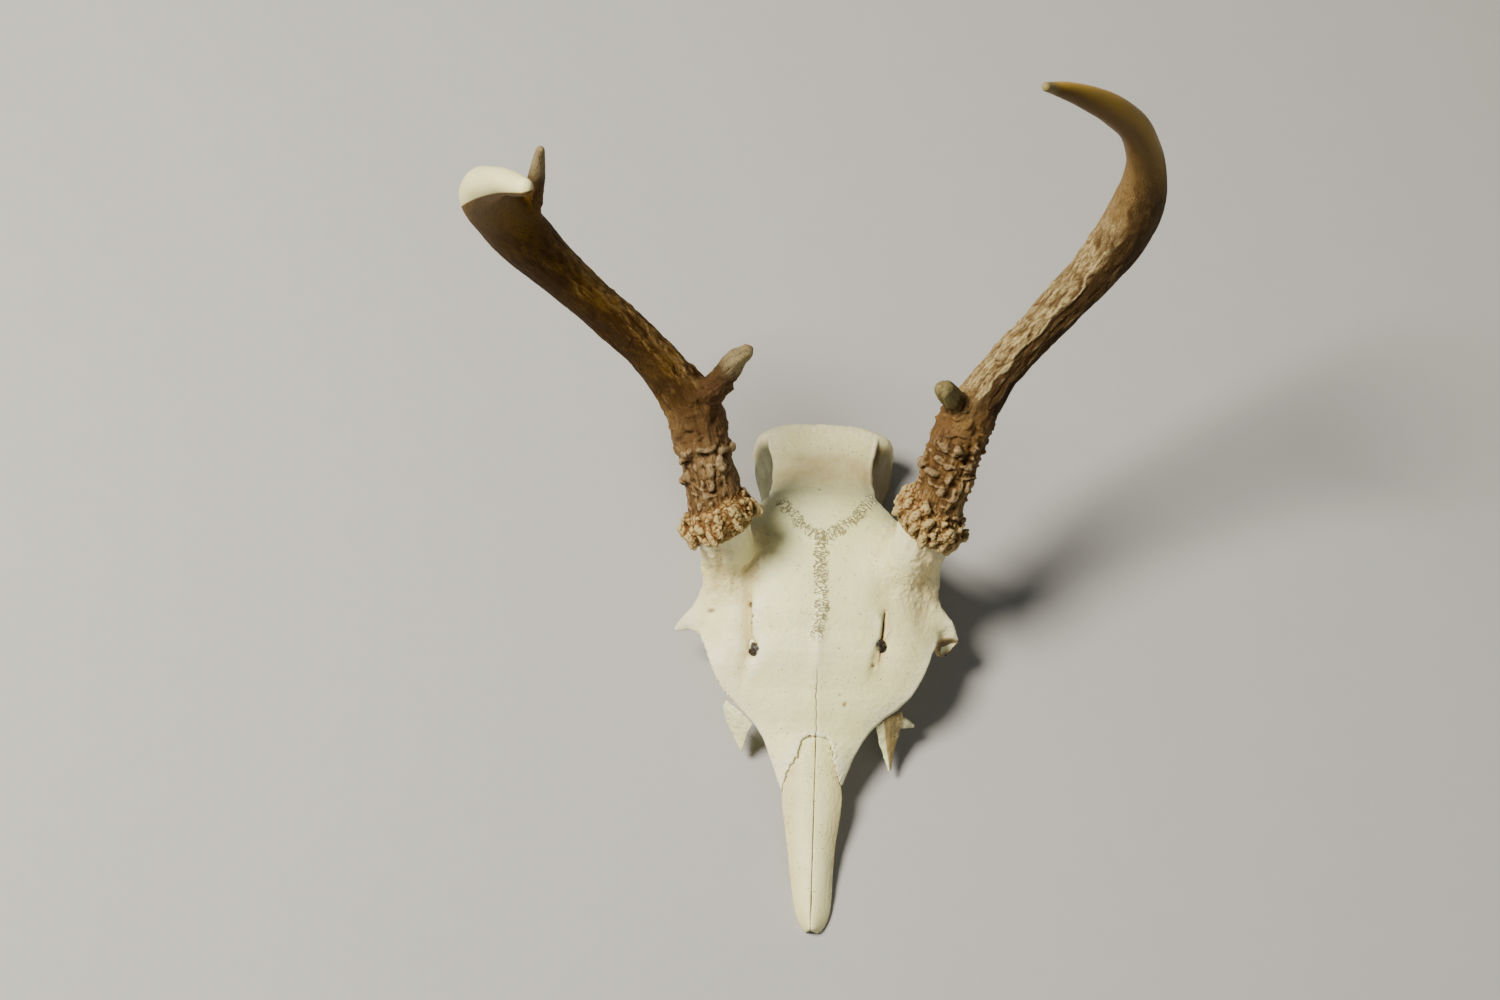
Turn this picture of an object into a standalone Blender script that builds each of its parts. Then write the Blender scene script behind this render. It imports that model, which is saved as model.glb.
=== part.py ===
"""The sawn skull cap of a young white-tailed deer buck with both antlers, lying on its cut edge.

Units are metres. +Z is up, the nose points to -Y, the deer's right side is -X. The origin is
on the flat cut edge under the back of the braincase, on the mid-line.
"""
import math
import random

import bmesh
import bpy
from mathutils import Vector

MM = 0.001

# Driving sizes, in millimetres. y runs forward from the cut edge at the back (negative = nose).
GAP = 0.3                     # clearance between two nodes that meet
NOSE_Y = -212.0               # tip of the nasal bones
NASION_Y = -137.0             # where the two nasals start on the mid-line
BREGMA_Y = -59.0              # where the sutures of the skull roof meet
CREST_Y = 2.0                 # back edge of the nuchal crest
BONE_MID = 4.5                # thickness of the skull roof on the mid-line
BONE_EDGE = 3.4               # thickness at the rim over the orbits
NASAL_THICK = 2.4             # thickness of the nasal bones
HOLE_RADIUS = 1.7             # hole above each orbit
BURR_LOW = 7.2                # how far the burr reaches below the first station
BURR_TOP = 4.4                # how far it reaches above
PEDICLE_RADIUS = 11.0         # bone stalk below the burr
RIGHT_LEAN = -0.25            # how far each burr leans outward from the line of its antler
LEFT_LEAN = 0.34

# Height of the skull roof on the mid-line, from the crest to the nose.
ROOF = [(4, 26.5), (2, 28.5), (-4, 29), (-13, 30), (-26, 37), (-40, 45.5), (-59, 49.5), (-75, 50),
        (-90, 48), (-104, 43), (-124, 31.5), (-137, 24.5), (-157, 19)]
PEDICLE_RISE = 11.0           # how far the skull roof swells up into each pedicle
# Half width of the frontal plate, and how much less it is on the deer's left, and height of its edge.
PLATE_WIDTH = [(-34, 22), (-44, 30), (-54, 41), (-62, 47), (-68, 49.4), (-74, 49.4), (-80, 49.0),
               (-84, 49.4), (-88, 49.6), (-92, 49.6), (-97, 48.6), (-106, 45.4), (-112, 43.2),
               (-118, 40.0), (-121.5, 37.4), (-124, 34.4), (-127, 30.2), (-131.5, 25.0), (-137, 21.4),
               (-144, 18.2), (-151, 15.6), (-157, 13.2)]
LEFT_LESS = [(-118, 0), (-124, 0.6), (-131, 1.6), (-138, 2.2), (-146, 3.0), (-157, 3.0)]
PLATE_EDGE = [(-34, 36), (-44, 37), (-54, 37), (-62, 37.5), (-74, 37), (-80, 34.5), (-88, 30), (-96, 31.5),
              (-106, 33), (-112, 32.4), (-120, 28.6), (-127, 25), (-137, 20.8), (-151, 16), (-157, 14.2)]
# Braincase: y, half width, height, boxiness (1 is round), shift to the deer's left.
BRAINCASE = [(3.4, 19.5, 23.4, 0.6, 0), (2.6, 24.0, 27.4, 0.5, 0.3), (-1, 27.6, 29.0, 0.42, 0.8),
             (-6, 29.4, 28.8, 0.42, 1.1), (-12, 28.6, 29.4, 0.46, 1.4), (-19, 26.2, 32.0, 0.55, 1.2),
             (-27, 25.8, 36.4, 0.62, 0.6), (-38, 28, 43.4, 0.7, 0.2), (-54, 30.5, 48.2, 0.8, 0),
             (-70, 29.5, 48.6, 0.8, 0), (-82, 24, 46.5, 0.75, 0), (-91, 15.5, 43.5, 0.6, 0)]
HOLLOW = [(-3.6, 17, 18, 0.6), (-8, 21, 22.5, 0.6), (-16, 21.2, 24.8, 0.65), (-26, 21.6, 30.4, 0.7),
          (-40, 24.2, 39.0, 0.8), (-56, 26.2, 43.6, 0.85), (-70, 25.2, 43.6, 0.85), (-81, 19.5, 41, 0.8),
          (-90, 10.2, 37, 0.6), (-108, 9.2, 33, 0.5), (-124, 9, 23.5, 0.5), (-141, 9, 16, 0.5)]
# Nasal bones: y, half width on the deer's right and on its left, height on the mid-line, fall of the edge.
NASAL = [(-137.4, 0.9, 0.9, 24.3, 0.1), (-138.4, 5.4, 5.2, 24.0, 0.8), (-145, 7.4, 7.0, 22.2, 1.5),
         (-150, 10.4, 8.6, 20.8, 2.6), (-156, 12.6, 10.9, 19.2, 3.8), (-162, 12.7, 11.2, 17.6, 4.6),
         (-170, 11.4, 10.2, 15.2, 5.0), (-180, 9.9, 8.9, 12.4, 5.2), (-190, 8.6, 8.5, 9.9, 5.3),
         (-200, 7.0, 8.1, 7.7, 5.2), (-207, 5.0, 6.7, 6.3, 4.7), (-211, 2.8, 4.4, 5.6, 4.0),
         (-212, 1.6, 2.6, 5.2, 3.4)]

# Centre-lines of the antlers: x, y, z, radius. The first station is the middle of the burr.
RIGHT_BEAM = [(-42.4, -62.5, 70, 11.6), (-45.6, -51.3, 80, 10.6), (-49.4, -41.3, 90, 10.8),
              (-54, -31, 101, 11.0), (-64, -21.6, 111, 9.2), (-76, -13.2, 121, 8.4),
              (-98.5, -1.5, 139, 8.7), (-109.5, 3.6, 149, 9.9), (-119.5, 7.3, 161, 11.2),
              (-127.2, 8, 176, 11.0), (-131, 3.2, 194, 10.2), (-130, -6.8, 216, 8.0),
              (-125.2, -19, 238, 6.1), (-118.6, -32.6, 260, 4.6), (-112, -46, 279, 3.1),
              (-107.2, -55, 291.5, 1.5)]
LEFT_BEAM = [(43.2, -60.4, 70, 11.6), (46.9, -51.6, 80, 10.6), (49.9, -41.8, 90, 10.8),
             (55.0, -31.6, 101, 10.8), (63.3, -21.5, 111, 8.5), (73.1, -12.2, 121, 8.1),
             (92.1, 3.4, 139, 8.7), (101.6, 10.8, 150, 9.3), (109.2, 17.5, 163, 10.2),
             (113.3, 21.8, 177, 10.0), (113.8, 23.4, 193, 8.3), (111.2, 23.3, 209, 6.8),
             (105.0, 21.8, 227, 6.0), (95.5, 17.8, 243, 5.6), (85.4, 12.5, 257, 4.6),
             (75.6, 6.4, 270, 3.3), (66.8, -0.2, 281, 1.8)]
RIGHT_BROW = [(-52.2, -31.8, 99, 7.8), (-47.6, -29.5, 108.6, 6.3), (-42.0, -28.2, 121.8, 5.2),
              (-37.0, -28.1, 135.4, 4.2), (-33.0, -29.2, 144, 3.0)]
LEFT_BROW = [(54.4, -31.5, 99, 6.6), (51.0, -30.8, 107, 5.6), (47.2, -31.2, 116.5, 4.7),
             (44.2, -32.4, 124.8, 4.0)]
UPPER_TINE = [(-119, 10, 163, 5.6), (-117, 12.6, 174, 4.6), (-114.4, 15.2, 187, 3.7),
              (-111.6, 17.4, 206, 1.8)]
# Broken stalks behind the orbits, as ovals: centre, and half its length each way.
RIGHT_SPIKE = [((-43.5, -85, 37.0), (-0.5, 12.5, 3.4), (0.8, 0.4, -2.2)),
               ((-48.6, -87.3, 32.6), (-0.3, 9.8, 3.3), (1.2, 0.3, -2.2)),
               ((-51.0, -90.0, 29.4), (-0.6, 5.2, 1.5), (1.4, 0, -1.9)),
               ((-54.0, -90.1, 26.2), (-0.8, 2.9, 0.8), (1.3, 0, -1.6)),
               ((-56.9, -90.3, 22.4), (-0.4, 1.7, 0.5), (0.9, 0, -1.0)),
               ((-58.7, -90.5, 19.6), (-0.2, 0.7, 0.3), (0.4, 0, -0.5))]
LEFT_STUB = [((44.5, -86, 34.5), (1.5, 11.5, 3.0), (-0.8, 0.5, -2.4)),
             ((48.2, -89.4, 31.2), (2.2, 7.2, 3.0), (-1.6, -0.5, -3.0)),
             ((50.8, -92.6, 27.6), (3.6, 3.4, 3.0), (-2.0, -1.6, -4.0)),
             ((52.9, -96.0, 22.8), (4.4, 1.4, 1.8), (-1.0, -2.2, -5.2))]
FORK = 50.0                   # where base and beam meet, measured along the centre-line
RIGHT_TIP = 186.0             # where the smooth last length begins
LEFT_TIP = 166.0


def value(table, at):
    """A smooth value from a table of (position, value) whose positions fall."""
    rows = sorted(table)
    if at <= rows[0][0]:
        return rows[0][1]
    for (a, u), (b, v) in zip(rows, rows[1:]):
        if at <= b:
            t = (at - a) / (b - a)
            return u + (v - u) * (t * 0.5 + t * t * (3 - 2 * t) * 0.5)
    return rows[-1][1]


def spline(stations, t):
    """A point of the smooth curve through the stations, t from 0 to 1, all columns alike."""
    spans = len(stations) - 1
    at = min(max(t, 0.0), 1.0) * spans
    i = min(int(at), spans - 1)
    f = at - i
    around = (stations[min(max(k, 0), spans)] for k in (i - 1, i, i + 1, i + 2))
    point = []
    for a, b, c, d in zip(*around):
        bend = (2 * a - 5 * b + 4 * c - d) * f * f + (3 * b - a - 3 * c + d) * f ** 3
        point.append(0.5 * (2 * b + (c - a) * f + bend))
    return point


def tangent(stations, t):
    a = Vector(spline(stations, t - 0.004)[:3])
    b = Vector(spline(stations, t + 0.004)[:3])
    return (b - a).normalized()


def at_length(stations, length):
    """Where on the smooth curve a length from its start is reached, as t from 0 to 1."""
    count = 600
    last = Vector(spline(stations, 0)[:3])
    done = 0.0
    for k in range(1, count + 1):
        here = Vector(spline(stations, k / count)[:3])
        step = (here - last).length
        if done + step >= length:
            return (k - 1 + (length - done) / step) / count
        done += step
        last = here
    return 1.0


def clear_scene():
    for item in list(bpy.data.objects):
        bpy.data.objects.remove(item, do_unlink=True)


def collection(name, cutters=False):
    made = bpy.data.collections.new(name)
    bpy.context.scene.collection.children.link(made)
    if cutters:
        made.hide_render = True
    return made


def material(name, colour, roughness):
    made = bpy.data.materials.new(name)
    made.use_nodes = True
    shader = made.node_tree.nodes["Principled BSDF"]
    shader.inputs["Base Color"].default_value = (*colour, 1)
    shader.inputs["Roughness"].default_value = roughness
    return made


def make(name, bm, home):
    """A mesh object from a bmesh given in millimetres, with its normals facing out."""
    bmesh.ops.scale(bm, vec=(MM, MM, MM), verts=bm.verts)
    bmesh.ops.recalc_face_normals(bm, faces=bm.faces)
    mesh = bpy.data.meshes.new(name)
    bm.to_mesh(mesh)
    bm.free()
    made = bpy.data.objects.new(name, mesh)
    home.objects.link(made)
    return made


def loft(name, rings, home, strip=False):
    """A closed body through rings of equal length. A strip cap joins each point to its opposite one."""
    bm = bmesh.new()
    rows = [[bm.verts.new(p) for p in ring] for ring in rings]
    count = len(rows[0])
    for low, high in zip(rows, rows[1:]):
        for k in range(count):
            n = (k + 1) % count
            bm.faces.new((low[k], low[n], high[n], high[k]))
    for row in (rows[0], rows[-1]):
        if strip:
            for k in range(count // 2 - 1):
                bm.faces.new((row[k], row[k + 1], row[-2 - k], row[-1 - k]))
            continue
        middle = bm.verts.new(sum((v.co for v in row), Vector()) / count)
        for k in range(count):
            bm.faces.new((row[k], row[(k + 1) % count], middle))
    bmesh.ops.triangulate(bm, faces=bm.faces)
    return make(name, bm, home)


def prism(name, outline, low, high, home):
    """An upright body over a plan outline."""
    return loft(name, [[(x, y, z) for x, y in outline] for z in (low, high)], home)


def tube(name, stations, start, end, steps, sides, home, grow=0.0, ridges=0.0, seed=0):
    """A tapered body along part of a centre-line, with lengthwise ridges."""
    draw = random.Random(seed)
    waves = [(draw.choice((3, 4, 5, 7)), draw.uniform(0, 6.28), draw.uniform(-5, 5)) for _ in range(4)]
    side = tangent(stations, start).cross(Vector((0.3, -0.9, 0.2))).normalized()
    rings = []
    for k in range(steps + 1):
        t = start + (end - start) * k / steps
        x, y, z, r = spline(stations, t)
        along = tangent(stations, t)
        side = (side - along * side.dot(along)).normalized()
        other = along.cross(side)
        ring = []
        for j in range(sides):
            a = 2 * math.pi * j / sides
            wave = sum(math.sin(n * a + p + d * t) for n, p, d in waves) / len(waves)
            reach = (r + grow) * (1 + ridges * wave)
            ring.append(Vector((x, y, z)) + side * math.cos(a) * reach + other * math.sin(a) * reach)
        rings.append(ring)
    if end >= 1.0:
        x, y, z, r = spline(stations, 1.0)
        along = tangent(stations, 1.0)
        rings.append([Vector((x, y, z)) * 0.45 + p * 0.55 + along * r * 0.8 for p in rings[-1]])
    return loft(name, rings, home)


def knob(name, at, out, size, reach, home, draw, along=None):
    """A small rounded lump that stands out by its reach, drawn out along the antler where that is given."""
    bm = bmesh.new()
    bmesh.ops.create_icosphere(bm, subdivisions=1, radius=1.0)
    turn = out.to_track_quat("Z", "Y").to_matrix()
    for v in bm.verts:
        grain = draw.uniform(0.88, 1.12)
        v.co = turn @ Vector((v.co.x * size * grain, v.co.y * size * grain, v.co.z * reach))
        if along:
            v.co += along * v.co.dot(along) * 0.7
        v.co += at
    return make(name, bm, home)


def apply_all(body):
    """Apply the modifiers of a body and keep only its largest closed surface."""
    graph = bpy.context.evaluated_depsgraph_get()
    mesh = bpy.data.meshes.new_from_object(body.evaluated_get(graph))
    body.modifiers.clear()
    body.data = mesh
    bm = bmesh.new()
    bm.from_mesh(mesh)
    bmesh.ops.remove_doubles(bm, verts=bm.verts, dist=0.000004)
    bmesh.ops.dissolve_degenerate(bm, edges=bm.edges, dist=0.000004)
    bmesh.ops.triangulate(bm, faces=bm.faces)
    bm.verts.ensure_lookup_table()
    seen = set()
    pieces = []
    for start in bm.verts:
        if start in seen:
            continue
        piece = {start}
        stack = [start]
        while stack:
            for edge in stack.pop().link_edges:
                for v in edge.verts:
                    if v not in piece:
                        piece.add(v)
                        stack.append(v)
        seen |= piece
        pieces.append(piece)
    largest = max(pieces, key=len)
    bmesh.ops.delete(bm, geom=[v for v in bm.verts if v not in largest], context="VERTS")
    bm.to_mesh(mesh)
    bm.free()


def join(body, pieces, solver="MANIFOLD"):
    """Fuse a collection of closed pieces with a body."""
    step = body.modifiers.new("fuse", "BOOLEAN")
    step.operation = "UNION"
    step.operand_type = "COLLECTION"
    step.collection = pieces
    step.solver = solver
    apply_all(body)
    for item in list(pieces.objects):
        bpy.data.objects.remove(item, do_unlink=True)
    bpy.data.collections.remove(pieces)


def cut(body, tools):
    """Cut each tool out of a body."""
    for tool in tools:
        tool.display_type = "WIRE"
        step = body.modifiers.new("cut", "BOOLEAN")
        step.operation = "DIFFERENCE"
        step.object = tool
        step.solver = "EXACT"
    apply_all(body)


def arch(y, half, height, box, low, points=16, shift=0):
    """A domed cross-section of the braincase, drawn down to a flat foot."""
    ring = [(shift + half, y, low)]
    for k in range(points + 1):
        a = math.pi * k / points
        c = math.cos(a)
        s = math.sin(a)
        ring.append((shift + half * math.copysign(abs(c) ** box, c), y, height * s ** box))
    ring.append((shift - half, y, low))
    return ring


def plate_half(y, sign):
    """Half width of the frontal plate on one side."""
    return value(PLATE_WIDTH, y) - (value(LEFT_LESS, y) if sign > 0 else 0)


def plate_rings(points=22):
    """Cross-sections of the frontal bones, an arched plate that swells up into the two pedicles."""
    rings = []
    for k in range(31):
        y = -34 - (157 - 34) * k / 30
        top = value(ROOF, y) + 0.35 - 1.6 * max(0.0, (y + 48) / 14)
        edge = value(PLATE_EDGE, y)
        upper = []
        lower = []
        for j in range(points + 1):
            v = -1 + 2 * j / points
            x = plate_half(y, v) * v
            off = ((abs(x) - 39.5) / 9.5) ** 2 + ((y + 67) / 10.5) ** 2
            rise = PEDICLE_RISE * math.exp(-off / 2)
            z = top - (top - edge) * abs(v) ** 2.6 + rise
            thick = BONE_MID + (BONE_EDGE - BONE_MID) * v * v
            upper.append((x, y, z))
            lower.append((x * 0.985, y, z - thick - rise * 0.5))
        rings.append(upper + lower[::-1])
    return rings


def ring_about(centre, along, radius, sides=16):
    side = along.cross(Vector((0, 1, 0.2))).normalized()
    other = along.cross(side)
    turns = [2 * math.pi * k / sides for k in range(sides)]
    return [centre + (side * math.cos(a) + other * math.sin(a)) * radius for a in turns]


def oval(centre, long, short, sides=12):
    """A ring of points round an oval, from its centre and its two half axes."""
    turns = [2 * math.pi * k / sides for k in range(sides)]
    return [Vector(centre) + Vector(long) * math.cos(a) + Vector(short) * math.sin(a) for a in turns]


def burr_axis(beam, lean):
    """The way that a burr faces: along its antler, leaning to one side."""
    return (tangent(beam, 0.02) + Vector((lean, 0, 0))).normalized()


def build_cranium(home, cutters):
    body = loft("cranium", [arch(y, w, h, b, -6, shift=d) for y, w, h, b, d in BRAINCASE], home)
    pieces = collection("cranium pieces")
    loft("frontal plate", plate_rings(), pieces, strip=True)
    walls = [(y, 13.2, value(ROOF, y) - 2.2, 0.3) for y in (-84, -96, -110, -124, -133)]
    loft("orbit walls", [arch(y, w, h, b, -6) for y, w, h, b in walls], pieces)
    discs = []
    for sign, beam, lean in ((-1, RIGHT_BEAM, RIGHT_LEAN), (1, LEFT_BEAM, LEFT_LEAN)):
        along = burr_axis(beam, lean)
        centre = Vector(beam[0][:3])
        top = centre - along * (BURR_LOW - 0.4)
        disc = [ring_about(centre + along * h, along, 17.5, 24) for h in (-BURR_LOW - GAP, BURR_TOP)]
        discs.append(loft("clearance under burr", disc, cutters))
        stalk = [ring_about(Vector((sign * 34.6, -67, 38)), Vector((0, 0, 1)), 14.6),
                 ring_about(Vector((sign * 36.4, -67, 47)), Vector((0, 0.1, 1)).normalized(), 12.9),
                 ring_about(Vector((sign * 39.0, -67.2, 55.5)), Vector((0, 0.35, 1)).normalized(), 11.5),
                 ring_about(top, along, PEDICLE_RADIUS)]
        loft("pedicle", stalk, pieces)
    loft("right spike", [oval(*row) for row in RIGHT_SPIKE], pieces)
    loft("left stub", [oval(*row) for row in LEFT_STUB], pieces)
    join(body, pieces)
    inside = loft("braincase hollow", [arch(y, w, h, b, -9, 14) for y, w, h, b in HOLLOW], cutters)
    floor = prism("floor cut", [(-90, -240), (90, -240), (90, 40), (-90, 40)], -40, 0, cutters)
    notch = prism("nasal notch", nasal_outline(GAP), -8, 60, cutters)
    holes = []
    for x, y in ((-26.3, -107), (25.4, -104)):
        hole = [(x + HOLE_RADIUS * math.cos(k * math.pi / 6), y + HOLE_RADIUS * math.sin(k * math.pi / 6))
                for k in range(12)]
        holes.append(prism("orbit hole", hole, 20, 60, cutters))
    cut(body, [inside, floor, notch, *holes, *discs])
    return body


def widen(outline, grow):
    """A plan outline moved outward by a clearance, with mitred corners."""
    area = sum(a[0] * b[1] - b[0] * a[1] for a, b in zip(outline, outline[1:] + outline[:1]))
    turn = 1 if area > 0 else -1
    moved = []
    for before, here, after in zip(outline[-1:] + outline[:-1], outline, outline[1:] + outline[:1]):
        one = Vector((here[1] - before[1], before[0] - here[0])).normalized() * turn
        two = Vector((after[1] - here[1], here[0] - after[0])).normalized() * turn
        both = (one + two).normalized()
        reach = grow / max(0.5, both.dot(one))
        moved.append((here[0] + both.x * reach, here[1] + both.y * reach))
    return moved


def nasal_outline(grow):
    """Plan outline of both nasal bones, widened by a clearance."""
    rows = [spline(NASAL, k / 24) for k in range(25)]
    right = [(-max(r, GAP / 2 + 0.5), y) for y, r, _, _, _ in rows]
    left = [(max(l, GAP / 2 + 0.5), y) for y, _, l, _, _ in rows]
    return widen(left + right[::-1], grow)


def build_nasal(name, sign, home, cutters):
    """One nasal bone: half of an arched roof whose outer edge curls down to the floor at the tip."""
    rings = []
    for k in range(25):
        t = k / 24
        y, right, left, mid, fall = spline(NASAL, t)
        half = right if sign < 0 else left
        inner = GAP / 2
        upper = []
        lower = []
        for j in range(7):
            v = j / 6
            x = inner + (max(half, inner + 0.5) - inner) * v
            z = mid - fall * v ** 2.2
            upper.append((sign * x, y, z))
            lower.append((sign * x, y, min(z - 0.8, max(z - NASAL_THICK - 0.9 * v, -1.5))))
        rings.append(upper + lower[::-1])
    body = loft(name, rings, home, strip=True)
    floor = prism("floor cut nasal", [(-40, -240), (40, -240), (40, 0), (-40, 0)], -40, 0, cutters)
    cut(body, [floor])
    return body


def shard(name, lines, thick, home):
    """A thin bone shard through lines of two points each."""
    rings = []
    for (a, b), t in zip(lines, thick):
        a = Vector(a)
        b = Vector(b)
        down = Vector((0, 0.35, -1)).normalized() * t
        mid = (a + b) / 2 + Vector((0, -0.25, 0.3)) * t
        rings.append([a, mid, b, b + down, mid + down, a + down])
    return loft(name, rings, home, strip=True)


def build_lacrimals(home, cutters):
    rows = [-34 - (157 - 34) * k / 33 for k in range(34)]
    outline = [(plate_half(y, 1), y) for y in rows] + [(-plate_half(y, -1), y) for y in rows[::-1]]
    clear = prism("frontal clearance", widen(outline, GAP), -10, 70, cutters)
    thick = (2.2, 2.2, 2, 1.8, 1.2)
    right = shard("lacrimal_right", [((-35.6, -121.4, 25.2), (-24.6, -130.6, 21.8)),
                                     ((-38.0, -124.2, 20.5), (-26.4, -132.4, 18.6)),
                                     ((-36.2, -128.4, 15.5), (-27.8, -134.2, 14.4)),
                                     ((-33.0, -133.4, 10.8), (-28.8, -136.6, 10.4)),
                                     ((-30.4, -137.6, 7.4), (-29.2, -138.6, 7.2))], thick, home)
    cut(right, [clear])
    left = shard("lacrimal_left", [((33.4, -121.8, 24.4), (24.2, -130.8, 21.4)),
                                   ((35.4, -125.6, 19.6), (25.0, -132.8, 18.4)),
                                   ((34.2, -130.2, 14.6), (26.2, -136.2, 13.8)),
                                   ((32.4, -137.0, 10.0), (28.4, -140.0, 9.6)),
                                   ((31.4, -143.6, 6.6), (30.2, -144.6, 6.4))], thick, home)
    prong = collection("prong pieces")
    tube("prong", [(32, -126.4, 16.8, 3.2), (36, -126.4, 14.6, 2.4), (40, -126.6, 12.4, 0.7)],
         0, 1, 4, 8, prong)
    join(left, prong)
    cut(left, [clear])
    return right, left


def build_burr(name, beam, along, home, seed):
    """The coronet: a thick disc with two rows of lumps round its rim."""
    draw = random.Random(seed)
    centre = Vector(beam[0][:3])
    middle = (BURR_TOP - BURR_LOW) / 2
    half = (BURR_TOP + BURR_LOW) / 2
    rings = [ring_about(centre + along * (middle + half * s), along, r, 20)
             for s, r in ((-1.08, 12.2), (-0.7, 13.4), (0, 13.6), (0.7, 12.4), (1.08, 11.2))]
    body = loft(name, rings, home)
    side = along.cross(Vector((0, 1, 0.2))).normalized()
    other = along.cross(side)
    pieces = collection(name + " pieces")
    for row, lift, count in ((0, -0.5, 14), (1, 0.15, 15), (2, 0.7, 12)):
        for k in range(count):
            a = 2 * math.pi * (k + 0.5 * row + draw.uniform(-0.25, 0.25)) / count
            ray = side * math.cos(a) + other * math.sin(a)
            out = (ray + along * lift * 0.6).normalized()
            at = centre + ray * (draw.uniform(12.6, 13.8) - 0.5 * row) + along * (middle + lift * half)
            knob("lump", at, out, draw.uniform(1.9, 2.8), draw.uniform(2.8, 4.0) - 0.6 * row, pieces, draw)
    join(body, pieces)
    trim = [ring_about(centre + along * h, along, 30, 12) for h in (BURR_TOP, BURR_TOP + 12)]
    under = [ring_about(centre + along * h, along, 30, 12) for h in (-BURR_LOW - 12, -BURR_LOW)]
    tools = [loft(name + " top trim", trim, bpy.data.collections["cutters"]),
             loft(name + " foot trim", under, bpy.data.collections["cutters"])]
    cut(body, tools)
    return body


def stud(body, beam, start, end, count, sizes, avoid, seed):
    """Set small knobs on a length of antler, fewer and lower towards its end."""
    draw = random.Random(seed)
    pieces = collection(body.name + " pieces")
    side = tangent(beam, 0.02).cross(Vector((0.3, -0.9, 0.2))).normalized()
    for k in range(count):
        t = at_length(beam, start + (end - start) * (k + 0.5 + draw.uniform(-0.3, 0.3)) / count)
        x, y, z, r = spline(beam, t)
        along = tangent(beam, t)
        side = (side - along * side.dot(along)).normalized()
        a = k * 2.4 + draw.uniform(-0.4, 0.4)
        out = side * math.cos(a) + along.cross(side) * math.sin(a)
        size = draw.uniform(*sizes) * (1 - 0.35 * k / count)
        at = Vector((x, y, z)) + out * (r - size * 0.25)
        if any((at - Vector(p[:3])).length < p[3] + size * 1.6 + 2 for p in avoid):
            continue
        knob("knob", at, (out + along * 0.2).normalized(), size, size, pieces, draw, along)
    join(body, pieces)


def build_antler(prefix, beam, lean, tip_start, brow, upper, home, cutters, seed):
    along = burr_axis(beam, lean)
    burr = build_burr(prefix + "_burr", beam, along, home, seed)
    fork = at_length(beam, FORK)
    fork_on = at_length(beam, FORK + GAP + 0.05)
    tip = at_length(beam, tip_start)
    tip_on = at_length(beam, tip_start + GAP + 0.05)
    base = tube(prefix + "_base", beam, at_length(beam, 2), fork, 10, 16, home, ridges=0.11, seed=seed + 1)
    shaft = tube(prefix + "_beam", beam, fork_on, tip, 18, 16, home, ridges=0.05, seed=seed + 2)
    end = tube(prefix + "_tip", beam, tip_on, 1.0, 14, 14, home)
    centre = Vector(beam[0][:3])
    disc = [ring_about(centre + along * h, along, 30, 12) for h in (-14, BURR_TOP + GAP)]
    cut(base, [loft(prefix + " burr clearance", disc, cutters)])
    around = tube(prefix + " clearance", beam, at_length(beam, 8), 0.95, 40, 20, cutters, grow=GAP + 0.9)
    tine = tube(prefix + "_brow_tine", brow, 0, 1, 9, 12, home, ridges=0.03, seed=seed + 3)
    cut(tine, [around])
    nodes = [burr, base, shaft, end, tine]
    reach = list(brow)
    if upper:
        small = tube(prefix + "_upper_tine", upper, 0, 1, 7, 12, home)
        cut(small, [around])
        nodes.append(small)
        reach += upper
    stud(base, beam, BURR_TOP + 4, FORK - 4, 20, (1.6, 2.4), reach, seed + 4)
    stud(shaft, beam, FORK + 4, FORK + 55, 14, (1.2, 1.7), reach, seed + 5)
    return nodes


def main():
    clear_scene()
    home = collection("deer skull cap with antlers")
    cutters = collection("cutters", cutters=True)
    bone = material("bone", (0.83, 0.76, 0.60), 0.6)
    horn = material("antler", (0.36, 0.22, 0.11), 0.55)
    smooth = material("antler tip", (0.62, 0.46, 0.24), 0.35)
    bones = [build_cranium(home, cutters)]
    bones += [build_nasal("nasal_right", -1, home, cutters), build_nasal("nasal_left", 1, home, cutters)]
    bones += build_lacrimals(home, cutters)
    antlers = build_antler("antler_right", RIGHT_BEAM, RIGHT_LEAN, RIGHT_TIP,
                           RIGHT_BROW, UPPER_TINE, home, cutters, 11)
    antlers += build_antler("antler_left", LEFT_BEAM, LEFT_LEAN, LEFT_TIP,
                            LEFT_BROW, None, home, cutters, 37)
    for item in bones:
        item.data.materials.clear()
        item.data.materials.append(bone)
    for item in antlers:
        item.data.materials.clear()
        item.data.materials.append(smooth if item.name.endswith(("tip", "tine")) else horn)
    for item in cutters.objects:
        item.display_type = "WIRE"
        item.hide_render = True


main()
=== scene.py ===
"""The looks of a young white-tailed deer buck's sawn skull cap with both antlers.

Forms are worked in millimetres, in the frame of the CAD model: +Z up, nose to -Y, the deer's
right side to -X. Each bone and antler is fused into one even, dense mesh, and then carved in
code: ridges, pearls, hollows, holes and sutures. What the carving knows about a point, such as
how deep it lies in a crevice, is kept on the mesh for the materials to read.
"""
import math

import bpy
import numpy as np
from mathutils import Matrix, Vector


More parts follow.
